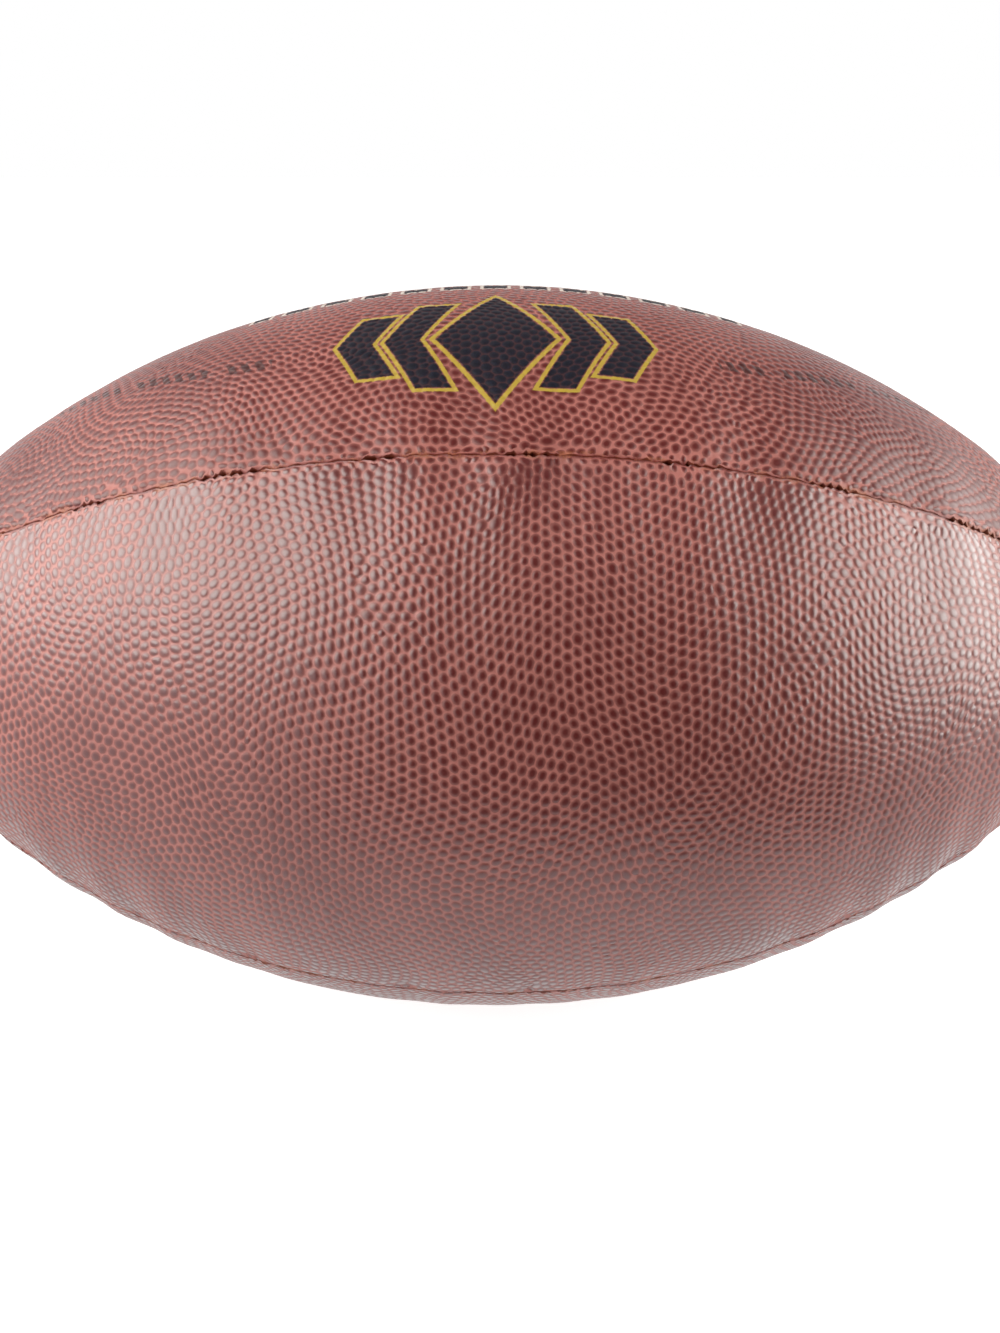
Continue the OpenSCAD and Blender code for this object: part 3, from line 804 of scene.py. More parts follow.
        # Depth of each point below the skin, as a share of the relief
        sunk = np.concatenate([
            np.where(is_pebble, tops_sunk, self.RIM_SHARE),
            np.full(len(low), self.CORNER_SHARE),
            self.SADDLE_SHARE - np.where(is_pebble[pairs].all(1),
                                         self.MERGED_SHARE * merged, 0),
            self.TOP_SHARE + 0.8 * tops_sunk[top_number],
        ])
        s, phi = skin.T
        e = outline.seam_distance(s, phi)
        relief = self.leather.relief * (0.7 + 0.3 * smooth(e, 0.4 * MM, 3 * MM))
        for s0, phi0, radius in self.centres:
            off = np.hypot(s - s0, (phi - phi0) * outline.section(s)[1]) - radius
            relief = relief * (0.4 + 0.6 * smooth(off, 0.2 * MM, 3 * MM))
        depth = self.skin_depth(s, phi) + sunk * relief + 0.03 * MM
        depth[slots[1]] = rim[2] + 0.1 * MM
        for points in slots[2:]:
            depth[points] += lip_depth
        surface.add(s, phi, depth, 1 - sunk, e, 0.0)
        return faces, cells, slots[1:]

    def hole_rings(self):
        """Each ring of a hole's wall: how much wider than the hole, and how deep."""
        cover = self.shape.cover
        return [(0.35 * MM, 0.06 * MM), (0.12 * MM, 0.2 * MM), (0.0, 0.55 * MM),
                (0.0, cover - 0.1 * MM), (0.05 * MM, cover)]

    def hole_wall(self, hole):
        """Arc lengths, angles and depths of the rings below a hole's lip."""
        rings = []
        for extra, down in self.hole_rings()[1:]:
            s, phi = self.circle(hole, extra)
            sunk = self.skin_depth(s, phi) if down < self.shape.cover / 2 else 0
            rings.append((s, phi, down + sunk))
        return rings

    def inside(self, surface, borders, loops):
        """Faces of the smooth inner side, through a coarse grid of points, within and
        round borders whose points have the loops' numbers."""
        half, cover = self.shape.half_diameter, self.shape.cover
        coarse = np.stack(np.meshgrid(np.arange(-20, 21) * self.INNER_GRID,
                                      np.arange(-9, 10) * self.INNER_GRID / half,
                                      indexing="ij"), -1).reshape(-1, 2)
        clear = self.outline.seam_distance(*coarse.T) > 6 * MM
        for s0, phi0, radius in self.centres:
            off = np.hypot(coarse[:, 0] - s0, (coarse[:, 1] - phi0) * half)
            clear &= off > radius + 2 * MM
        coarse = coarse[clear & (np.abs(coarse[:, 1]) < SEAM)]
        slots = joined([coarse] + borders)
        flat = np.concatenate([coarse] + borders)
        triangles = fill(self.unrolled(flat), slots[1:])
        numbers = np.zeros(len(flat), int)
        numbers[slots[0]] = surface.add(*coarse.T, cover, EDGE_RELIEF, 0.0, 1.0)
        for here, loop in zip(slots[1:], loops):
            numbers[here] = loop
        return numbers[triangles][:, ::-1]

    def build(self):
        """Points, faces, values of the points, and each corner's place on its pebble."""
        surface = Surface(self.outline)
        rows = self.edge_rings()
        skin, cells, rims = self.outside(surface, rows[0])
        raw = [0.0, 0.5, 0.5] + [1.0] * len(rows)
        walls, last = surface.wall(rims[0], rows[1:], raw)
        parts = [skin, *walls]
        borders, loops = [np.stack(rows[-1][:2], -1)], [last]
        for hole, rim in zip(self.centres, rims[1:]):
            rings = self.hole_wall(hole)
            walls, last = surface.wall(rim, rings, [0.5] + [1.0] * len(rings))
            parts += [wall[:, ::-1] for wall in walls]
            borders.append(np.stack(rings[-1][:2], -1))
            loops.append(last)
        parts.append(self.inside(surface, borders, loops))
        faces = np.concatenate(parts)
        pebble = np.tile(EDGE_PEBBLE, (len(faces), 3, 1))
        pebble[:len(cells)] = cells
        values = {key: np.concatenate(part) for key, part in surface.values.items()}
        return self.turn(np.concatenate(surface.parts)), faces, values, pebble

    def turn(self, points):
        """From the panel's own place round +Z to its place on the ball."""
        a = self.number * QUARTER
        x, y, z = points.T
        return np.stack([x, y * math.cos(a) + z * math.sin(a),
                         z * math.cos(a) - y * math.sin(a)], -1)


class Wire:
    """A socket of a material's nodes, which takes part in Python expressions."""

    def __init__(self, finish, socket):
        self.finish, self.socket = finish, socket

    def math(self, operation, *others):
        """A Math node with this socket as its first number."""
        return self.finish.node("ShaderNodeMath", {"operation": operation},
                                dict(enumerate((self, *others))))

    def __add__(self, other):
        return self.math("ADD", other)

    def __sub__(self, other):
        return self.math("SUBTRACT", other)

    def __rsub__(self, other):
        return self.finish.number(other).math("SUBTRACT", self)

    def __mul__(self, other):
        return self.math("MULTIPLY", other)

    def __truediv__(self, other):
        return self.math("DIVIDE", other)

    def __rtruediv__(self, other):
        return self.finish.number(other).math("DIVIDE", self)

    def __abs__(self):
        return self.math("ABSOLUTE")

    def __pow__(self, other):
        return self.math("POWER", other)

    __radd__ = __add__
    __rmul__ = __mul__

    def least(self, other):
        """The smaller of two numbers, which joins two shapes."""
        return self.math("MINIMUM", other)

    def most(self, other):
        """The larger of two numbers, which keeps what two shapes share."""
        return self.math("MAXIMUM", other)

    def ease(self, low, high, start=0.0, stop=1.0):
        """Eases from start at low to stop at high."""
        return self.finish.node(
            "ShaderNodeMapRange", {"interpolation_type": "SMOOTHSTEP"},
            {"Value": self, "From Min": low, "From Max": high, "To Min": start,
             "To Max": stop})


class Finish:
    """A procedural material under construction."""

    def __init__(self, name):
        self.material = bpy.data.materials.new(name)
        self.material.use_nodes = True
        self.tree = self.material.node_tree
        self.tree.nodes.clear()

    def node(self, kind, settings=None, sockets=None, out=0):
        """A node of a type, with its settings, then its sockets' values or links."""
        node = self.tree.nodes.new(kind)
        for key, value in (settings or {}).items():
            setattr(node, key, value)
        for key, value in (sockets or {}).items():
            socket = self.pick(node.inputs, key)
            if isinstance(value, Wire):
                self.tree.links.new(value.socket, socket)
            else:
                socket.default_value = value
        return None if out is None else Wire(self, self.pick(node.outputs, out))

    @staticmethod
    def pick(sockets, key):
        """The socket in use with a number, an identifier or a name."""
        if isinstance(key, int):
            return sockets[key]
        named = [i for i in sockets if key in (i.identifier, i.name)]
        return next((i for i in named if i.enabled), named[0])

    def number(self, value):
        """A number as a wire, for it to stand first in a sum."""
        return self.node("ShaderNodeMath", {"operation": "ADD"}, {0: value, 1: 0.0})

    def attribute(self, name):
        """A value of the mesh's points."""
        return self.node("ShaderNodeAttribute", {"attribute_name": name}, out="Fac")

    def split(self, vector):
        """A vector's three numbers."""
        first = self.node("ShaderNodeSeparateXYZ", None, {0: vector})
        return [Wire(self, socket) for socket in first.socket.node.outputs]

    def place(self):
        """Object coordinates, in metres."""
        return self.node("ShaderNodeTexCoord", out="Object")

    def noise(self, vector, size, detail=2.0, roughness=0.5):
        """Noise between 0 and 1 with features of about one size in metres."""
        return self.node("ShaderNodeTexNoise", {"noise_dimensions": "3D"}, {
            "Vector": vector, "Scale": 1 / size, "Detail": detail,
            "Roughness": roughness}, out="Fac")

    def mix(self, factor, first, second):
        """From the first colour to the second."""
        colours = {key: value if isinstance(value, Wire) else (*value, 1.0)
                   for key, value in (("A_Color", first), ("B_Color", second))}
        return self.node("ShaderNodeMix", {"data_type": "RGBA"}, {
            "Factor_Float": factor, **colours}, out="Result_Color")

    def bump(self, height, distance, strength=1.0, normal=None):
        """A normal raised by a height between 0 and 1 times a distance in metres."""
        sockets = {"Height": height, "Distance": distance, "Strength": strength}
        if normal is not None:
            sockets["Normal"] = normal
        return self.node("ShaderNodeBump", None, sockets)

    def principled(self, **sockets):
        """A Principled shader; base_color is its socket Base Color, and so on."""
        names = {key.replace("_", " ").title().replace("Ior", "IOR"): value
                 for key, value in sockets.items()}
        return self.node("ShaderNodeBsdfPrincipled", None, {
            key: (*value, 1.0) if isinstance(value, tuple) else value
            for key, value in names.items()}, out="BSDF")

    def surface(self, shader):
        """The finished material, whose surface is a shader."""
        self.node("ShaderNodeOutputMaterial", None, {"Surface": shader}, out=None)
        return self.material

    def shine(self, **sockets):
        """The finished material, whose surface is a Principled shader."""
        return self.surface(self.principled(**sockets))


def box_distance(x, y, half_x, half_y):
    """Signed distance to a bar, as a wire."""
    return (abs(x) - half_x).most(abs(y) - half_y)


def repeated(x, pace):
    """Distance along x from the nearest of evenly spaced places, as a wire."""
    return ((x / pace + 0.5).math("FLOORED_MODULO", 1.0) - 0.5) * pace


def leather_finish(name, shape, leather, printed):
    """Pebbled leather; printed adds the emblem and the pressed dashes."""
    finish = Finish(name)
    vector = finish.place()
    relief = finish.attribute("relief")
    seam = finish.attribute("seam")
    raw = finish.attribute("raw")
    pebble = finish.node("ShaderNodeAttribute", {"attribute_name": "pebble"}, out="Vector")
    over, along, cell = finish.split(pebble)
    reach = (over * over + along * along) ** 0.5 + (
        finish.noise(vector, 0.9 * MM, 1.0) - 0.5) * 0.3
    cloud = finish.noise(vector, 35 * MM, 3.0)
    grain = finish.noise(vector, 0.55 * MM, 3.0, 0.6)
    blotch = finish.noise(vector, 6 * MM, 2.0)
    top = reach.ease(0.24 + cell * 0.12, 0.84, 1.0, 0.0)
    # Blotches in the tops' dark colour on the lips beside the seam: painted shade in the
    # seam's crease
    seam_shade_blotches = seam.ease(0.1 * MM, 0.9 * MM, 1.0, 0.0) * finish.noise(
        vector, 1.1 * MM, 1.0).ease(0.45, 0.6)
    darker = tuple(c * 0.72 for c in leather.top)
    lighter = tuple(min(1, c * 1.35) for c in leather.valley)
    halfway = tuple((a + b) / 2 for a, b in zip(leather.valley, leather.top))
    # Valleys light, lightest at the cells' edges, and tops dark: partly the leather's own
    # tone, partly painted reflection of the bright room in the valleys' walls and of the
    # dark surroundings in the tops
    hide = finish.mix((cell * 0.5 + grain * 0.5).ease(0.2, 0.9, 0.0, 0.35),
                      leather.valley[:], lighter)
    hide = finish.mix(reach.ease(0.72, 1.0), halfway, hide)
    hide = finish.mix(top.most(seam_shade_blotches * 0.8) * (0.92 + cell * 0.08), hide,
                      leather.top[:])
    hide = finish.mix(cloud.ease(0.35, 0.75, 0.0, 0.2), hide, darker)
    # Darker towards the seam's gap: painted shade in the seam's crease
    lip = seam.ease(0.1 * MM, 0.8 * MM, 0.6, 0.0)
    hide = finish.mix(lip, hide, tuple(c * 1.5 for c in leather.top))
    worn = seam.ease(0.3 * MM, 1.5 * MM, 0.6, 0.0) * (
        blotch * 0.6 + grain * 0.4).ease(0.48, 0.6)
    hide = finish.mix(worn, hide, leather.tan[:])
    hide = finish.mix(raw.ease(0.2, 0.9), hide, leather.edge[:])
    rough = 0.27 + grain * 0.08 + (1 - top) * 0.14 + raw * 0.2
    if printed:
        hide, inked = printed_on(finish, hide, leather, shape, vector, relief, grain)
        rough = rough + 0.06
    dome = reach.ease(0.3, 1.05, 1.0, 0.0)
    normal = finish.bump(dome, 0.03 * MM)
    fine = finish.bump(grain * 0.6 + finish.noise(vector, 0.25 * MM) * 0.4, 0.04 * MM, 0.6,
                       normal)
    skin = finish.principled(base_color=hide, roughness=rough, normal=fine,
                             specular_ior_level=0.4 if printed else 0.62,
                             coat_weight=(top * 0.9 + 0.1) * (0.3 if printed else 0.85),
                             coat_roughness=0.28)
    if not printed:
        return finish.surface(skin)
    faded = tuple(c * 2.5 for c in leather.ink)
    ink = finish.principled(
        base_color=finish.mix(grain.ease(0.4, 0.8), leather.ink[:], faded),
        roughness=0.5 + grain * 0.1, normal=fine, specular_ior_level=0.2)
    return finish.surface(finish.node("ShaderNodeMixShader", None,
                                      {0: inked, 1: skin, 2: ink}))


def printed_on(finish, hide, leather, shape, vector, relief, grain):
    """What is drawn on the top panel's unrolled skin: the new colour, and where ink is."""
    x, y, z = finish.split(vector)
    turn = y.math("ARCTAN2", z)
    radius = (y * y + z * z) ** 0.5
    ragged = (grain - 0.5) * (0.4 * MM)
    worn_ink = 0.86 + relief * 0.14
    # The emblem: a lozenge between pairs of slanted bars, all with an outline
    emblem_turn, lozenge = math.radians(-22.3), 10 * MM
    bar_half, bar_slant = 3.6 * MM, 0.42
    across = (turn - emblem_turn) * shape.half_diameter
    shapes = abs(x) * 0.8 + abs(across) * 0.47 - lozenge
    for centre, half_height in ((19.5 * MM, 16.5 * MM), (29.5 * MM, 12 * MM)):
        lean = abs(x) - centre + abs(across) * bar_slant
        shapes = shapes.least(box_distance(lean, across, bar_half, half_height))
    shapes = shapes + ragged
    rim = abs(shapes - 0.65 * MM).ease(0.35 * MM, 0.6 * MM, 1.0, 0.0)
    hide = finish.mix(rim * worn_ink, hide, leather.outline[:])
    body = shapes.ease(-0.25 * MM, 0.25 * MM, 1.0, 0.0)
    # Pressed strokes on both sides of the emblem, in groups, on a curve
    stroke_turn, first, last = math.radians(-23), 47 * MM, 101 * MM
    far = (abs(x) - first).most(0.0)
    bend = (far / (60 * MM)) ** 1.7 * math.radians(23)
    row = (turn - stroke_turn - bend) * radius
    beat = repeated(x + row * 0.35, 3.1 * MM)
    group = repeated(abs(x) - 49 * MM, 21 * MM)
    stroke = box_distance(beat, row, 0.85 * MM, 1.8 * MM)
    stroke = stroke.most(abs(group) - 8.6 * MM)
    stroke = stroke.most(abs(abs(x) - (first + last) / 2) - (last - first) / 2) + ragged
    hide = finish.mix(stroke.ease(-0.2 * MM, 0.2 * MM, 0.85, 0.0), hide, leather.stamp[:])
    # Bars with a pale outline along the crown
    crown_turn, crown_half = math.radians(1.2), 55 * MM
    crown = (turn - crown_turn) * shape.half_diameter
    bars = box_distance(repeated(x, 9.0 * MM), crown, 2.6 * MM, 3 * MM)
    bars = bars.most(abs(x) - crown_half) + ragged
    rim = abs(bars - 0.5 * MM).ease(0.25 * MM, 0.5 * MM, 1.0, 0.0)
    hide = finish.mix(rim * worn_ink, hide, (0.5, 0.44, 0.38))
    return hide, body.most(bars.ease(-0.2 * MM, 0.2 * MM, 1.0, 0.0)) * worn_ink


class LaceRoute:
    """The way of the lace, as stations on the skin beside the laced seam.

    A station holds the arc length, the distance across the seam, the height above the
    leather, the turn of the width, the width and the thickness."""

    def __init__(self, shape, lace, outline):
        self.lace, self.radius = lace, outline.radii[0]
        self.half = shape.half_diameter
        self.end = lace.end_hole()
        inside = shape.cover + LAYER_GAP + LINING + LAYER_GAP
        # Thickness and width of the lace inside the ball and in a hole
        self.run_t, self.run_w = 1.4 * MM, 4.8 * MM
        self.hole_t, self.hole_w = 1.8 * MM, 4.8 * MM
        # Height of its middle inside the ball and on the leather
        self.low = -(inside + FACING + LAYER_GAP + self.run_t / 2)
        self.lift = lace.thickness / 2 + 0.15 * MM
        # Radius with which it bends into a hole, and with which it folds below it
        self.bend, self.fold = 1.3 * MM, 0.9 * MM

    @staticmethod
    def across(way):
        """The turn, in degrees, of a width that lies across a way of travel."""
        turn = (math.degrees(math.atan2(way[1], way[0])) - 30) % 180
        return turn - 60

    def dive(self, x, y, top, inner):
        """Stations down through a hole: top and inner are the ways in which the lace
        goes on outside and inside."""
        lace, ease = self.lace, 1 - math.cos(SEAM)
        t, u = self.across(top), self.across(inner)
        width, thick = lace.width, lace.thickness
        hole_w, hole_t, run_w, run_t = self.hole_w, self.hole_t, self.run_w, self.run_t
        bend, fold, lift, low = self.bend, self.fold, self.lift, self.low
        return [
            (x - bend * top[0], y - bend * top[1], lift, t, width, thick),
            (x - bend * ease * top[0], y - bend * ease * top[1], lift - bend * ease, t,
             (width + hole_w) / 2, thick),
            (x, y, lift - bend, t, hole_w, hole_t),
            (x, y, (lift - bend + low + fold) / 2, (t + u) / 2, hole_w, hole_t),
            (x, y, low + fold, u, hole_w, run_t),
            (x + fold * ease * inner[0], y + fold * ease * inner[1], low + fold * ease, u,
             run_w, run_t),
            (x + fold * inner[0], y + fold * inner[1], low, u, run_w, run_t),
        ]

    def hole(self, row, side):
        """Place of a crossing's hole."""
        lace = self.lace
        return np.array([row * lace.pitch - lace.last_crossing(), side * lace.spread / 2])

    def way_before(self, row):
        """Way from a crossing's first hole back to the hole the lace comes from."""
        after = (np.array([self.end, 0]) if row == self.lace.rows - 1
                 else self.hole(row + 1, -1))
        return unit(after - self.hole(row, 1))

    def way_after(self, row):
        """Way inside from a crossing's second hole to the next."""
        return (np.array([0, -1]) if row == 0
                else unit(self.hole(row - 1, 1) - self.hole(row, -1)))

    def crossing(self, row):
        """Stations up through one hole, over the long run and down through the other."""
        lace = self.lace
        right, left = self.hole(row, 1), self.hole(row, -1)
        stations = self.dive(*right, (0, 1), self.way_before(row))[::-1]
        air = 0.5 * MM
        half, ramp = lace.width / 2 + air, 3.5 * lace.thickness
        for part in (0.66, 0.45, 0.22, -0.22, -0.45, -0.66):
            y = part * lace.spread / 2
            climb = float(smooth((half + ramp - abs(y)) / ramp, 0, 1))
            height = self.lift + (lace.thickness + air) * climb
            stations.append((right[0], y, height, 0, lace.width, lace.thickness))
        return stations + self.dive(*left, (0, -1), self.way_after(row))

    def run(self, a, b):
        """Stations inside the ball between two holes."""
        turn = self.across(b - a)
        return [(*(a + part * (b - a)), self.low, turn, self.run_w, self.run_t)
                for part in (1 / 3, 2 / 3)]

    def stations(self):
        """The whole way: the long run first, then the crossings from the far end."""
        lace, last = self.lace, self.lace.rows - 1
        route = [(-self.end - lace.tail, 0, self.low, 90, self.run_w, self.run_t)]
        route += self.dive(-self.end, 0, (-1, 0), (-1, 0))[::-1]
        route += [(self.end * (i / 6 - 1), 0, self.lift, 90, lace.width, lace.thickness)
                  for i in range(1, 12)]
        route += self.dive(self.end, 0, (1, 0), -self.way_before(last))
        route += self.run(np.array([self.end, 0]), self.hole(last, 1))
        for row in range(last, -1, -1):
            route += self.crossing(row)
            if row:
                route += self.run(self.hole(row, -1), self.hole(row - 1, 1))
        (x, y), last_tail = self.hole(0, -1), 7 * MM
        route.append((x, y - last_tail, self.low, 0, self.run_w, self.run_t))
        return np.array(route)

    def frames(self):
        """Centre, width's way, width and thickness of each station, in the seam's place."""
        x, y, h, turn, width, thick = self.stations().T
        a, b, turn = x / self.radius, y / self.half, np.radians(turn)
        reach = self.radius + h
        r = self.half - self.radius + reach * np.cos(a)
        centres = np.stack([reach * np.sin(a), r * np.sin(b), r * np.cos(b)], -1)
        flat = (np.cos(turn)[:, None] * np.stack([np.cos(a), -np.sin(a) * np.sin(b),
                                                  -np.sin(a) * np.cos(b)], -1)
                + np.sin(turn)[:, None] * np.stack([0 * b, np.cos(b), -np.sin(b)], -1))
        return centres, flat, width, thick


def spline(values, steps):
    """Values on a smooth curve through the given ones, steps for each stretch."""
    padded = np.concatenate([values[:1], values, values[-1:]])
    t = (np.arange(steps) / steps)[None, :]
    t = t.reshape((1, steps) + (1,) * (values.ndim - 1))
    p = [padded[i:len(values) - 1 + i][:, None] for i in range(4)]
    curve = 0.5 * (2 * p[1] + (p[2] - p[0]) * t
                   + (2 * p[0] - 5 * p[1] + 4 * p[2] - p[3]) * t ** 2
                   + (3 * p[1] - p[0] - 3 * p[2] + p[3]) * t ** 3)
    return np.concatenate([curve.reshape((-1,) + values.shape[1:]), values[-1:]])


def lace_section():
    """Points round the lace's section: the signs of the quarter, and the way out from
    the centre of its rounded corner, or 0, 0 for a point on a flat side."""
    section = []
    for quarter in range(4):
        side_x, side_y = (1, -1, -1, 1)[quarter], (1, 1, -1, -1)[quarter]
        for step in range(4):
            turn = quarter * QUARTER + step * QUARTER / 3
            section.append((side_x, side_y, math.cos(turn), math.sin(turn)))
        section.append((side_x * (0.45 if quarter % 2 == 0 else 0), side_y, 0, 0))
    return section


def tube_faces(count, sides):
    """Triangles of a closed tube with flat ends, of rings with as many points."""
    first = np.arange(count - 1)[:, None] * sides
    k = np.arange(sides)[None, :]
    a, b = first + k, first + (k + 1) % sides
    walls = [np.stack(face, -1).reshape(-1, 3)
             for face in ((a, b, b + sides), (a, b + sides, a + sides))]
    last = (count - 1) * sides
    ends = [[0, j + 1, j] for j in range(1, sides - 1)]
    ends += [[last, last + j, last + j + 1] for j in range(1, sides - 1)]
    return np.concatenate([*walls, np.array(ends)])


def lace_mesh(shape, lace, outline):
    """The lace as one strip with rounded edges and a slightly crowned face."""
    centres, flat, width, thick = (spline(values, 3) for values in
                                   LaceRoute(shape, lace, outline).frames())
    travel = unit(np.gradient(centres, axis=0))
    wide = unit(flat - (flat * travel).sum(-1, keepdims=True) * travel)
    up = np.cross(travel, wide)
    steps = np.linalg.norm(np.diff(centres, axis=0), axis=1)
    along = np.concatenate([[0], np.cumsum(steps)])
    sway = Waves(5, 23 * MM)(along) * 0.012
    # Radius of the edges as a share of the thickness, and crown of the flat sides
    radius = 0.36 * thick
    crown, edge_crown = 0.985 + sway, 0.97 + sway
    rings, section = [], lace_section()
    for side_x, side_y, out_x, out_y in section:
        if (out_x, out_y) == (0, 0):
            across, out = side_x * width / 2, side_y * thick / 2 * crown
        else:
            across = side_x * (width / 2 - radius) + radius * out_x
            out = (side_y * (thick / 2 - radius) + radius * out_y) * edge_crown
        rings.append(centres + across[:, None] * wide + out[:, None] * up)
    points = np.stack(rings, 1).reshape(-1, 3)
    faces = tube_faces(len(centres), len(section))
    if signed_volume(points, faces) < 0:
        faces = faces[:, ::-1]
    across_values = [s[0] * (0.5 if s[2:] == (0, 0) else 1) for s in section]
    values = {"along": np.repeat(along, len(section)),
              "across": np.tile(across_values, len(centres))}
    x, y, z = points.T
    c = math.cos(SEAM)
    return np.stack([x, c * (y + z), c * (z - y)], -1), faces, values


def signed_volume(points, faces):
    """Volume within closed faces, negative when they look inwards."""
    a, b, c = (points[faces[:, i]] for i in range(3))
    return (a * np.cross(b, c)).sum() / 6


def lace_finish(lace):
    """Smooth coated strip, soiled in patches and a little along its edges."""
    finish = Finish("lace_coated")
    vector = finish.place()
    across = abs(finish.attribute("across"))
    cloud = finish.noise(vector, 9 * MM, 3.0)
    fine = finish.noise(vector, 0.5 * MM, 3.0, 0.6)
    soil = cloud.ease(0.42, 0.75, 0.0, 0.4) + across.ease(0.7, 1.0, 0.0, 0.22)
    shade = finish.mix(soil * fine.ease(0.25, 0.7), lace.face[:], lace.worn[:])
    normal = finish.bump(fine, 0.06 * MM, 0.5)
    return finish.shine(base_color=shade, roughness=0.38 + cloud * 0.2, normal=normal,
                        coat_weight=0.15, coat_roughness=0.3)


def stitch_tree():
    """Geometry Nodes that lay a thread's stitches along a path of edges."""
    tree = bpy.data.node_groups.new("laid_stitches", "GeometryNodeTree")
    face = tree.interface
    face.new_socket("Path", in_out="INPUT", socket_type="NodeSocketGeometry")
    for name in ("Thread", "Stitch"):
        face.new_socket(name, in_out="INPUT", socket_type="NodeSocketFloat")
    face.new_socket("Thread Material", in_out="INPUT", socket_type="NodeSocketMaterial")
    face.new_socket("Stitches", in_out="OUTPUT", socket_type="NodeSocketGeometry")

    def node(kind, settings=None, sockets=None):
        made = tree.nodes.new(kind)
        for key, value in (settings or {}).items():
            setattr(made, key, value)
        for key, value in (sockets or {}).items():
            if isinstance(value, bpy.types.NodeSocket):
                tree.links.new(value, made.inputs[key])
            else:
                made.inputs[key].default_value = value
        return made

    given = node("NodeGroupInput").outputs
    curve = node("GeometryNodeMeshToCurve", None, {"Mesh": given["Path"]}).outputs[0]
    placed = node("GeometryNodeResampleCurve", {"mode": "LENGTH"},
                  {"Curve": curve, "Length": given["Stitch"]}).outputs[0]
    tangent = node("GeometryNodeInputTangent").outputs[0]
    turn = node("FunctionNodeAlignRotationToVector", {"axis": "X"},
                {"Vector": tangent}).outputs[0]
    bead = node("GeometryNodeMeshUVSphere", None,
                {"Segments": 8, "Rings": 6, "Radius": 0.5}).outputs["Mesh"]
    reach = node("ShaderNodeMath", {"operation": "MULTIPLY"},
                 {0: given["Stitch"], 1: 1.12}).outputs[0]
    size = node("ShaderNodeCombineXYZ", None,
                {0: reach, 1: given["Thread"], 2: given["Thread"]}).outputs[0]
    beads = node("GeometryNodeInstanceOnPoints", None, {
        "Points": placed, "Instance": bead, "Rotation": turn, "Scale": size}).outputs[0]
    solid = node("GeometryNodeRealizeInstances", None, {"Geometry": beads}).outputs[0]
    smooth_faces = node("GeometryNodeSetShadeSmooth", None, {"Geometry": solid}).outputs[0]
    dressed = node("GeometryNodeSetMaterial", None, {
        "Geometry": smooth_faces, "Material": given["Thread Material"]}).outputs[0]
    node("NodeGroupOutput", None, {"Stitches": dressed})
    return tree


def stitched(name, paths, tree, sizes, material):
    """A plain mesh of stitches along paths, made by the nodes."""
    mesh = bpy.data.meshes.new(name)
    points = np.concatenate(paths)
    edges = [(i, i + 1) for part in joined(paths) for i in part[:-1].tolist()]
    mesh.from_pydata(points.tolist(), edges, [])
    carrier = bpy.data.objects.new(name + "_path", mesh)
    bpy.context.scene.collection.objects.link(carrier)
    modifier = carrier.modifiers.new("stitches", "NODES")
    modifier.node_group = tree
    inputs = {i.name: i.identifier for i in tree.interface.items_tree
              if i.in_out == "INPUT"}
    for key, value in {**sizes, "Thread Material": material}.items():
        modifier[inputs[key]] = value
    graph = bpy.context.evaluated_depsgraph_get()
    made = bpy.data.meshes.new_from_object(carrier.evaluated_get(graph),
                                           preserve_all_data_layers=True, depsgraph=graph)
    bpy.data.objects.remove(carrier)
    piece = bpy.data.objects.new(name, made)
    bpy.context.scene.collection.objects.link(piece)
    return piece


def thread_finish():
    """Waxed thread with its twist."""
    finish = Finish("thread_waxed")
    vector = finish.place()
    x, y, z = finish.split(vector)
    twist = ((x + y * 0.7 + z * 0.7) / (0.45 * MM)).math("SINE") * 0.5 + 0.5
    cloud = finish.noise(vector, 2 * MM)
    # Darker in the grooves of the twist: painted shade, with random tone from the cloud
    shade = finish.mix(twist * 0.6 + cloud * 0.4, (0.36, 0.31, 0.22), (0.62, 0.56, 0.44))
    return finish.shine(base_color=shade, roughness=0.5 + cloud * 0.2,
                        normal=finish.bump(twist, 0.08 * MM, 0.7))


def woven_finish(name, warp, weft, yarn, cross_axes):
    """Plain weave of yarns, over and under each other."""
    finish = Finish(name)
    vector = finish.place()
    x, y, z = finish.split(vector)
    turn = y.math("ARCTAN2", z) * 0.08 if cross_axes else z
    u, v = x / yarn * math.pi, turn / yarn * math.pi
    wave_u, wave_v = u.math("SINE"), v.math("SINE")
    over = (wave_u * wave_v).ease(-0.3, 0.3)
    height = (abs(wave_u) * over + abs(wave_v) * (1 - over))
    cloud = finish.noise(vector, 12 * MM, 3.0)
    shade = finish.mix(over, warp, weft)
    dark = tuple(c * 0.5 for c in warp)
    # Darker where the yarns dip under each other: painted shade between the yarns
    shade = finish.mix(height.ease(0.1, 0.7, 0.75, 0.0), shade, dark)
    shade = finish.mix(cloud.ease(0.45, 0.75, 0.0, 0.3), shade, dark)
    return finish.shine(base_color=shade, roughness=0.82 + cloud * 0.1,
                        normal=finish.bump(height, 0.12 * MM, 0.8))


def suede_finish(name, light, dark):
    """Split leather with short fibres."""
    finish = Finish(name)
    vector = finish.place()
    fibre = finish.noise(vector, 0.6 * MM, 5.0, 0.7)
    cloud = finish.noise(vector, 8 * MM, 3.0)
    shade = finish.mix(fibre * 0.6 + cloud * 0.4, dark, light)
    return finish.shine(base_color=shade, roughness=0.8 + fibre * 0.15,
                        normal=finish.bump(fibre, 0.15 * MM, 0.8))


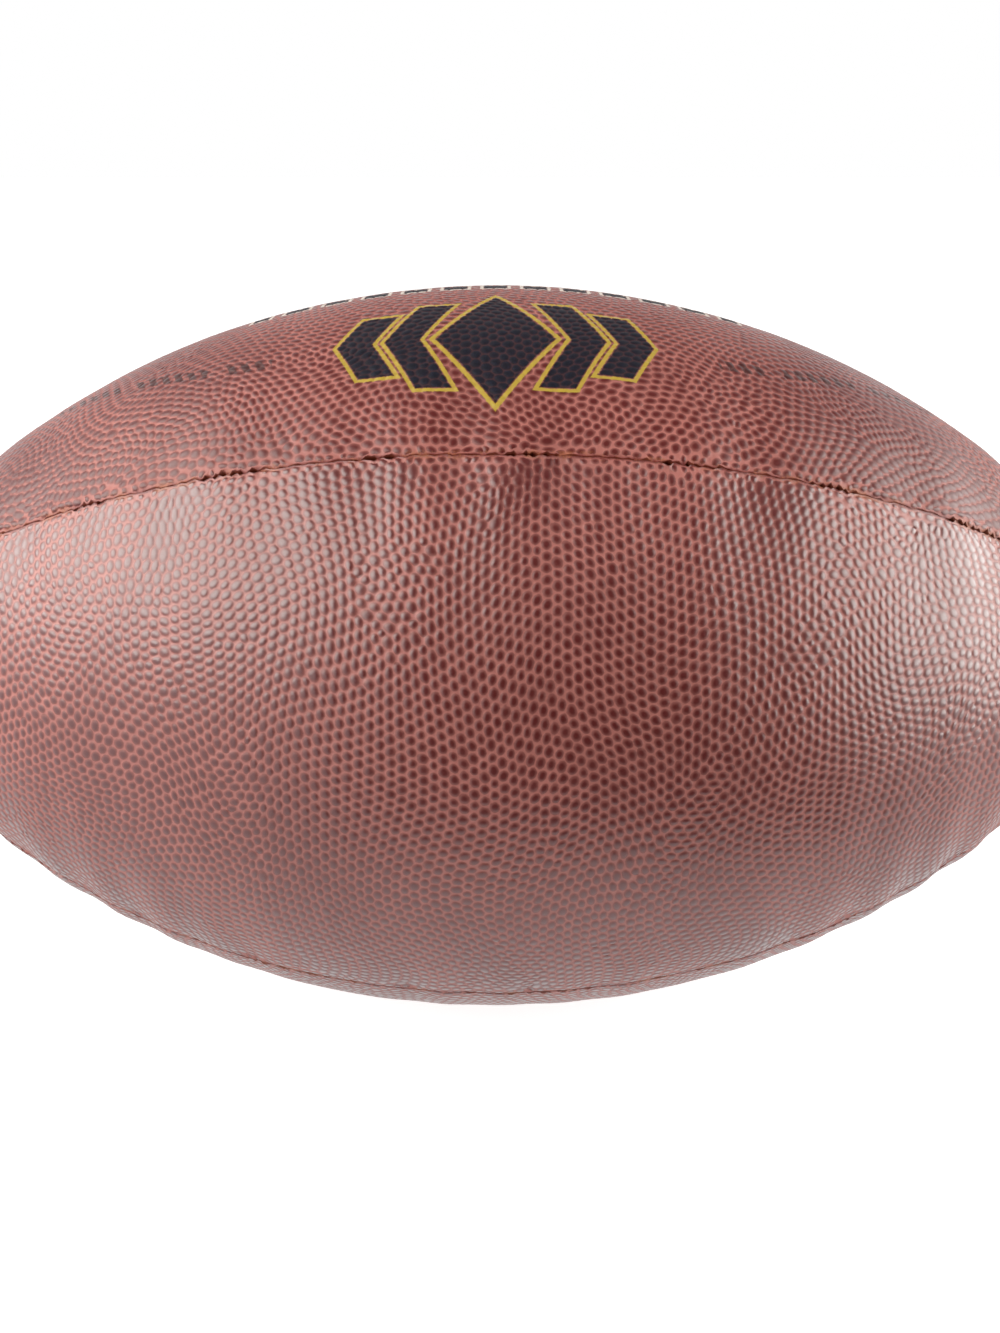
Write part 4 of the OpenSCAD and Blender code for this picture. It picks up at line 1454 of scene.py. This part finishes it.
def rubber_finish(name, base, bloom, relief):
    """Moulded rubber with a faint bloom and fine pits."""
    finish = Finish(name)
    vector = finish.place()
    cloud = finish.noise(vector, 7 * MM, 4.0, 0.6)
    pits = finish.noise(vector, 0.35 * MM, 2.0)
    shade = finish.mix(cloud.ease(0.4, 0.8, 0.0, 0.5), base, bloom)
    return finish.shine(base_color=shade, roughness=0.5 + cloud * 0.25,
                        normal=finish.bump(pits, relief, 0.6))


def put_on(piece, node):
    """A finished piece rides on the ball and stands for its node of the model."""
    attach(piece, "root")
    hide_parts(node)


def dress(material, *nodes):
    """Gives nodes of the model their finish."""
    for node in nodes:
        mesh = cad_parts[node].data
        mesh.materials.clear()
        mesh.materials.append(material)


class FOOTBALL_OT_panels(bpy.types.Operator):
    """Make the four pebbled leather panels with their turned-in edges"""
    bl_idname = "football.panels"
    bl_label = "Leather panels"

    def execute(self, context):
        scene = context.scene
        shape, leather, lace = scene.ball_shape, scene.ball_leather, scene.ball_lace
        outline = Outline(shape)
        seams = [Seam(shape, lace, number, number == 0) for number in range(4)]
        plain = leather_finish("leather_pebbled", shape, leather, False)
        printed = leather_finish("leather_printed", shape, leather, True)
        for name in PANELS:
            skin = PanelSkin(name, shape, leather, lace, outline, seams)
            material = printed if name == "panel_top" else plain
            piece = new_mesh(f"{name}_leather", skin.points, skin.faces, [material],
                             skin.values, {"pebble": skin.pebble})
            put_on(piece, name)
        return {"FINISHED"}


class FOOTBALL_OT_linings(bpy.types.Operator):
    """Finish the woven linings and the patch behind the valve"""
    bl_idname = "football.linings"
    bl_label = "Linings and patch"

    def execute(self, context):
        cotton = woven_finish("lining_woven", (0.62, 0.57, 0.47), (0.52, 0.47, 0.37),
                              0.7 * MM, True)
        patch = woven_finish("patch_woven", (0.5, 0.46, 0.38), (0.42, 0.38, 0.3),
                             0.5 * MM, False)
        dress(cotton, *(name.replace("panel", "lining") for name in PANELS))
        dress(patch, "valve_patch")
        return {"FINISHED"}


class FOOTBALL_OT_threads(bpy.types.Operator):
    """Lay the two rows of stitches of each seam"""
    bl_idname = "football.threads"
    bl_label = "Seam threads"

    def execute(self, context):
        shape = context.scene.ball_shape
        outline = Outline(shape)
        material, tree = thread_finish(), stitch_tree()
        stop = float(np.interp(shape.half_length - 2 * shape.allowance,
                               outline.section(outline.samples)[0], outline.samples))
        slot = context.scene.ball_lace.open_half() + SLOT_END
        seam_half, room = 0.2 * MM, 0.05 * MM
        aside = seam_half + shape.cover + room + shape.thread / 2
        for number, name in enumerate(("laced", "lower_back", "lower_front",
                                       "upper_front")):
            stretches = [(-stop, -slot), (slot, stop)] if number == 0 else [(-stop, stop)]
            paths = []
            for side in (-1, 1):
                for a, b in stretches:
                    s = np.linspace(a, b, 80)
                    x, r = outline.section(s, shape.stitch_depth)
                    turn = SEAM + number * QUARTER + side * np.arcsin(aside / r)
                    paths.append(np.stack([x, r * np.sin(turn), r * np.cos(turn)], -1))
            piece = stitched(f"seam_thread_{name}_stitches", paths, tree,
                             {"Thread": shape.thread, "Stitch": 3.4 * MM}, material)
            put_on(piece, f"seam_thread_{name}")
        return {"FINISHED"}


class FOOTBALL_OT_lacing(bpy.types.Operator):
    """Make the lace, and finish its facings and the tongue"""
    bl_idname = "football.lacing"
    bl_label = "Lacing"

    def execute(self, context):
        shape, lace = context.scene.ball_shape, context.scene.ball_lace
        points, faces, values = lace_mesh(shape, lace, Outline(shape))
        piece = new_mesh("lace_strip", points, faces, [lace_finish(lace)], values)
        put_on(piece, "lace")
        facing = suede_finish("facing_suede", (0.5, 0.36, 0.24), (0.3, 0.19, 0.11))
        tongue = suede_finish("tongue_suede", (0.2, 0.075, 0.055), (0.09, 0.03, 0.022))
        dress(facing, "lace_facing_top", "lace_facing_back")
        dress(tongue, "lace_tongue")
        return {"FINISHED"}


class FOOTBALL_OT_bladder(bpy.types.Operator):
    """Finish the bladder and the valve"""
    bl_idname = "football.bladder"
    bl_label = "Bladder and valve"

    def execute(self, context):
        bladder = rubber_finish("bladder_rubber", (0.018, 0.018, 0.02),
                                (0.06, 0.06, 0.06), 0.05 * MM)
        valve = rubber_finish("valve_rubber", (0.028, 0.027, 0.027), (0.07, 0.068, 0.065),
                              0.04 * MM)
        dress(bladder, "bladder")
        dress(valve, "valve_plug", "valve_sleeve")
        return {"FINISHED"}


def plain_mesh(name, points, faces, material):
    """A flat surface of the stage."""
    mesh = bpy.data.meshes.new(name)
    mesh.from_pydata(points, [], faces)
    mesh.materials.append(material)
    made = bpy.data.objects.new(name, mesh)
    bpy.context.scene.collection.objects.link(made)
    return made


def sphere_point(azimuth, elevation, distance):
    """A place round the ball; azimuth 0 is where the camera stands, 90 is at +X."""
    a, e = math.radians(azimuth), math.radians(elevation)
    return Vector((math.sin(a) * math.cos(e), -math.cos(a) * math.cos(e), math.sin(e))
                  ) * distance


def softbox(name, azimuth, elevation, width, height, power):
    """A rectangular light a metre away that faces the ball."""
    data = bpy.data.lights.new(name, "AREA")
    data.shape = "RECTANGLE"
    data.size, data.size_y, data.energy = width, height, power
    data.color = (1.0, 0.97, 0.92)
    lamp = bpy.data.objects.new(name, data)
    lamp.location = sphere_point(azimuth, elevation, 1.0)
    lamp.rotation_euler = lamp.location.to_track_quat("Z", "Y").to_euler()
    bpy.context.scene.collection.objects.link(lamp)


def light_room(tree, stage):
    """White to the camera, and to the ball a room that is brightest at its sides."""
    nodes, links = tree.nodes, tree.links
    room = nodes["Background"]
    place = nodes.new("ShaderNodeTexCoord")
    split = nodes.new("ShaderNodeSeparateXYZ")
    links.new(place.outputs["Generated"], split.inputs[0])
    least = nodes.new("ShaderNodeMath")
    least.operation = "MINIMUM"
    for number, numbers in enumerate(((-0.45, 0.1, stage.ground, stage.white),
                                      (0.1, 0.8, stage.white, stage.ceiling))):
        fall = nodes.new("ShaderNodeMapRange")
        fall.interpolation_type = "SMOOTHSTEP"
        for name, value in zip(("From Min", "From Max", "To Min", "To Max"), numbers):
            fall.inputs[name].default_value = value
        links.new(split.outputs["Z"], fall.inputs["Value"])
        links.new(fall.outputs[0], least.inputs[number])
    links.new(least.outputs[0], room.inputs["Strength"])
    room.inputs["Color"].default_value = (1, 1, 1, 1)
    seen = nodes.new("ShaderNodeBackground")
    seen.inputs["Color"].default_value = (1, 1, 1, 1)
    seen.inputs["Strength"].default_value = 1.0
    path = nodes.new("ShaderNodeLightPath")
    mix = nodes.new("ShaderNodeMixShader")
    links.new(path.outputs["Is Camera Ray"], mix.inputs[0])
    links.new(room.outputs[0], mix.inputs[1])
    links.new(seen.outputs[0], mix.inputs[2])
    links.new(mix.outputs[0], nodes["World Output"].inputs["Surface"])


def lay_floor(low):
    """A white floor, which lights nothing."""
    white = Finish("floor_white")
    tone = white.noise(white.place(), 150 * MM).ease(0.3, 0.7, 0.93, 0.97)
    material = white.shine(base_color=white.mix(tone, (0.1, 0.1, 0.1), (0.5, 0.5, 0.5)),
                           roughness=0.9, emission_color=(1.0, 1.0, 1.0),
                           emission_strength=0.85)
    wide = 4.0
    corners = [(-wide, -wide, low), (wide, -wide, low), (wide, wide, low),
               (-wide, wide, low)]
    floor = plain_mesh("floor", corners, [(0, 1, 2, 3)], material)
    floor.visible_diffuse = floor.visible_glossy = floor.visible_shadow = False


def hang_flag(low):
    """A black flag from the floor up in front of the ball, which keeps its middle dark."""
    black = Finish("flag_black")
    felt = black.noise(black.place(), 3 * MM)
    material = black.shine(
        base_color=black.mix(felt, (0.02, 0.02, 0.02), (0.05, 0.05, 0.05)),
        roughness=0.95)
    left, right, top, steps = -20.0, 56.0, 62.0, 8
    near, far = 0.17, 0.95
    arc = [left + (right - left) * i / steps for i in range(steps + 1)]
    ground = Vector((0, 0, low + 4 * MM))
    points = [sphere_point(a, 0, reach) + ground for reach in (near, far) for a in arc]
    points += [sphere_point(a, top, far) for a in arc]
    faces = [(i + k, i + k + 1, i + k + steps + 2, i + k + steps + 1)
             for k in (0, steps + 1) for i in range(steps)]
    flag = plain_mesh("flag", points, faces, material)
    flag.visible_camera = False
    flag.visible_shadow = False


def set_camera(stage):
    """The camera where the photographer's was, with the ball at its place in the frame."""
    data = bpy.data.cameras.new("camera")
    data.lens = stage.focal
    data.clip_start = 10 * MM
    data.shift_x, data.shift_y = BALL_LEFT / PHOTO_HEIGHT, -BALL_UP / PHOTO_HEIGHT
    camera = bpy.data.objects.new("camera", data)
    camera.location = sphere_point(0, math.degrees(stage.elevation), stage.distance)
    camera.rotation_euler = camera.location.to_track_quat("Z", "Y").to_euler()
    bpy.context.scene.collection.objects.link(camera)
    bpy.context.scene.camera = camera


class FOOTBALL_OT_stage(bpy.types.Operator):
    """Set up the pale floor, the surroundings, the lights and the camera"""
    bl_idname = "football.stage"
    bl_label = "Stage"

    def execute(self, context):
        scene, stage = context.scene, context.scene.ball_stage
        scene.view_settings.view_transform = "Standard"
        world = bpy.data.worlds.new("studio")
        world.use_nodes = True
        light_room(world.node_tree, stage)
        scene.world = world
        floor_height = -scene.ball_shape.half_diameter
        lay_floor(floor_height)
        hang_flag(floor_height)
        softbox("softbox_left", -70, 37, 1.35, 0.95, stage.box_power * 3.1)
        softbox("softbox_right", 88, 16, 1.1, 1.0, stage.box_power * 2.5)
        set_camera(stage)
        return {"FINISHED"}


OPERATORS = (FOOTBALL_OT_stage, FOOTBALL_OT_panels, FOOTBALL_OT_linings,
             FOOTBALL_OT_threads, FOOTBALL_OT_lacing, FOOTBALL_OT_bladder)


class FOOTBALL_PT_workshop(bpy.types.Panel):
    """Lists the pieces of the ball in the 3D view's sidebar"""
    bl_idname = "FOOTBALL_PT_workshop"
    bl_label = "Football"
    bl_space_type = "VIEW_3D"
    bl_region_type = "UI"
    bl_category = "Football"

    def draw(self, context):
        for operator in OPERATORS:
            self.layout.operator(operator.bl_idname)
        for key, group in GROUPS.items():
            box = self.layout.box()
            box.label(text=group.__doc__)
            for name in group.__annotations__:
                box.prop(getattr(context.scene, key), name)


def register():
    for group in GROUPS.values():
        bpy.utils.register_class(group)
    for kind in (*OPERATORS, FOOTBALL_PT_workshop):
        bpy.utils.register_class(kind)
    for key, group in GROUPS.items():
        setattr(bpy.types.Scene, key, PointerProperty(type=group))


def unregister():
    for key in GROUPS:
        delattr(bpy.types.Scene, key)
    for kind in (FOOTBALL_PT_workshop, *reversed(OPERATORS)):
        bpy.utils.unregister_class(kind)
    for group in reversed(GROUPS.values()):
        bpy.utils.unregister_class(group)


def main():
    register()
    for operator in OPERATORS:
        group, name = operator.bl_idname.split(".")
        getattr(getattr(bpy.ops, group), name)()


if __name__ == "__main__":
    main()
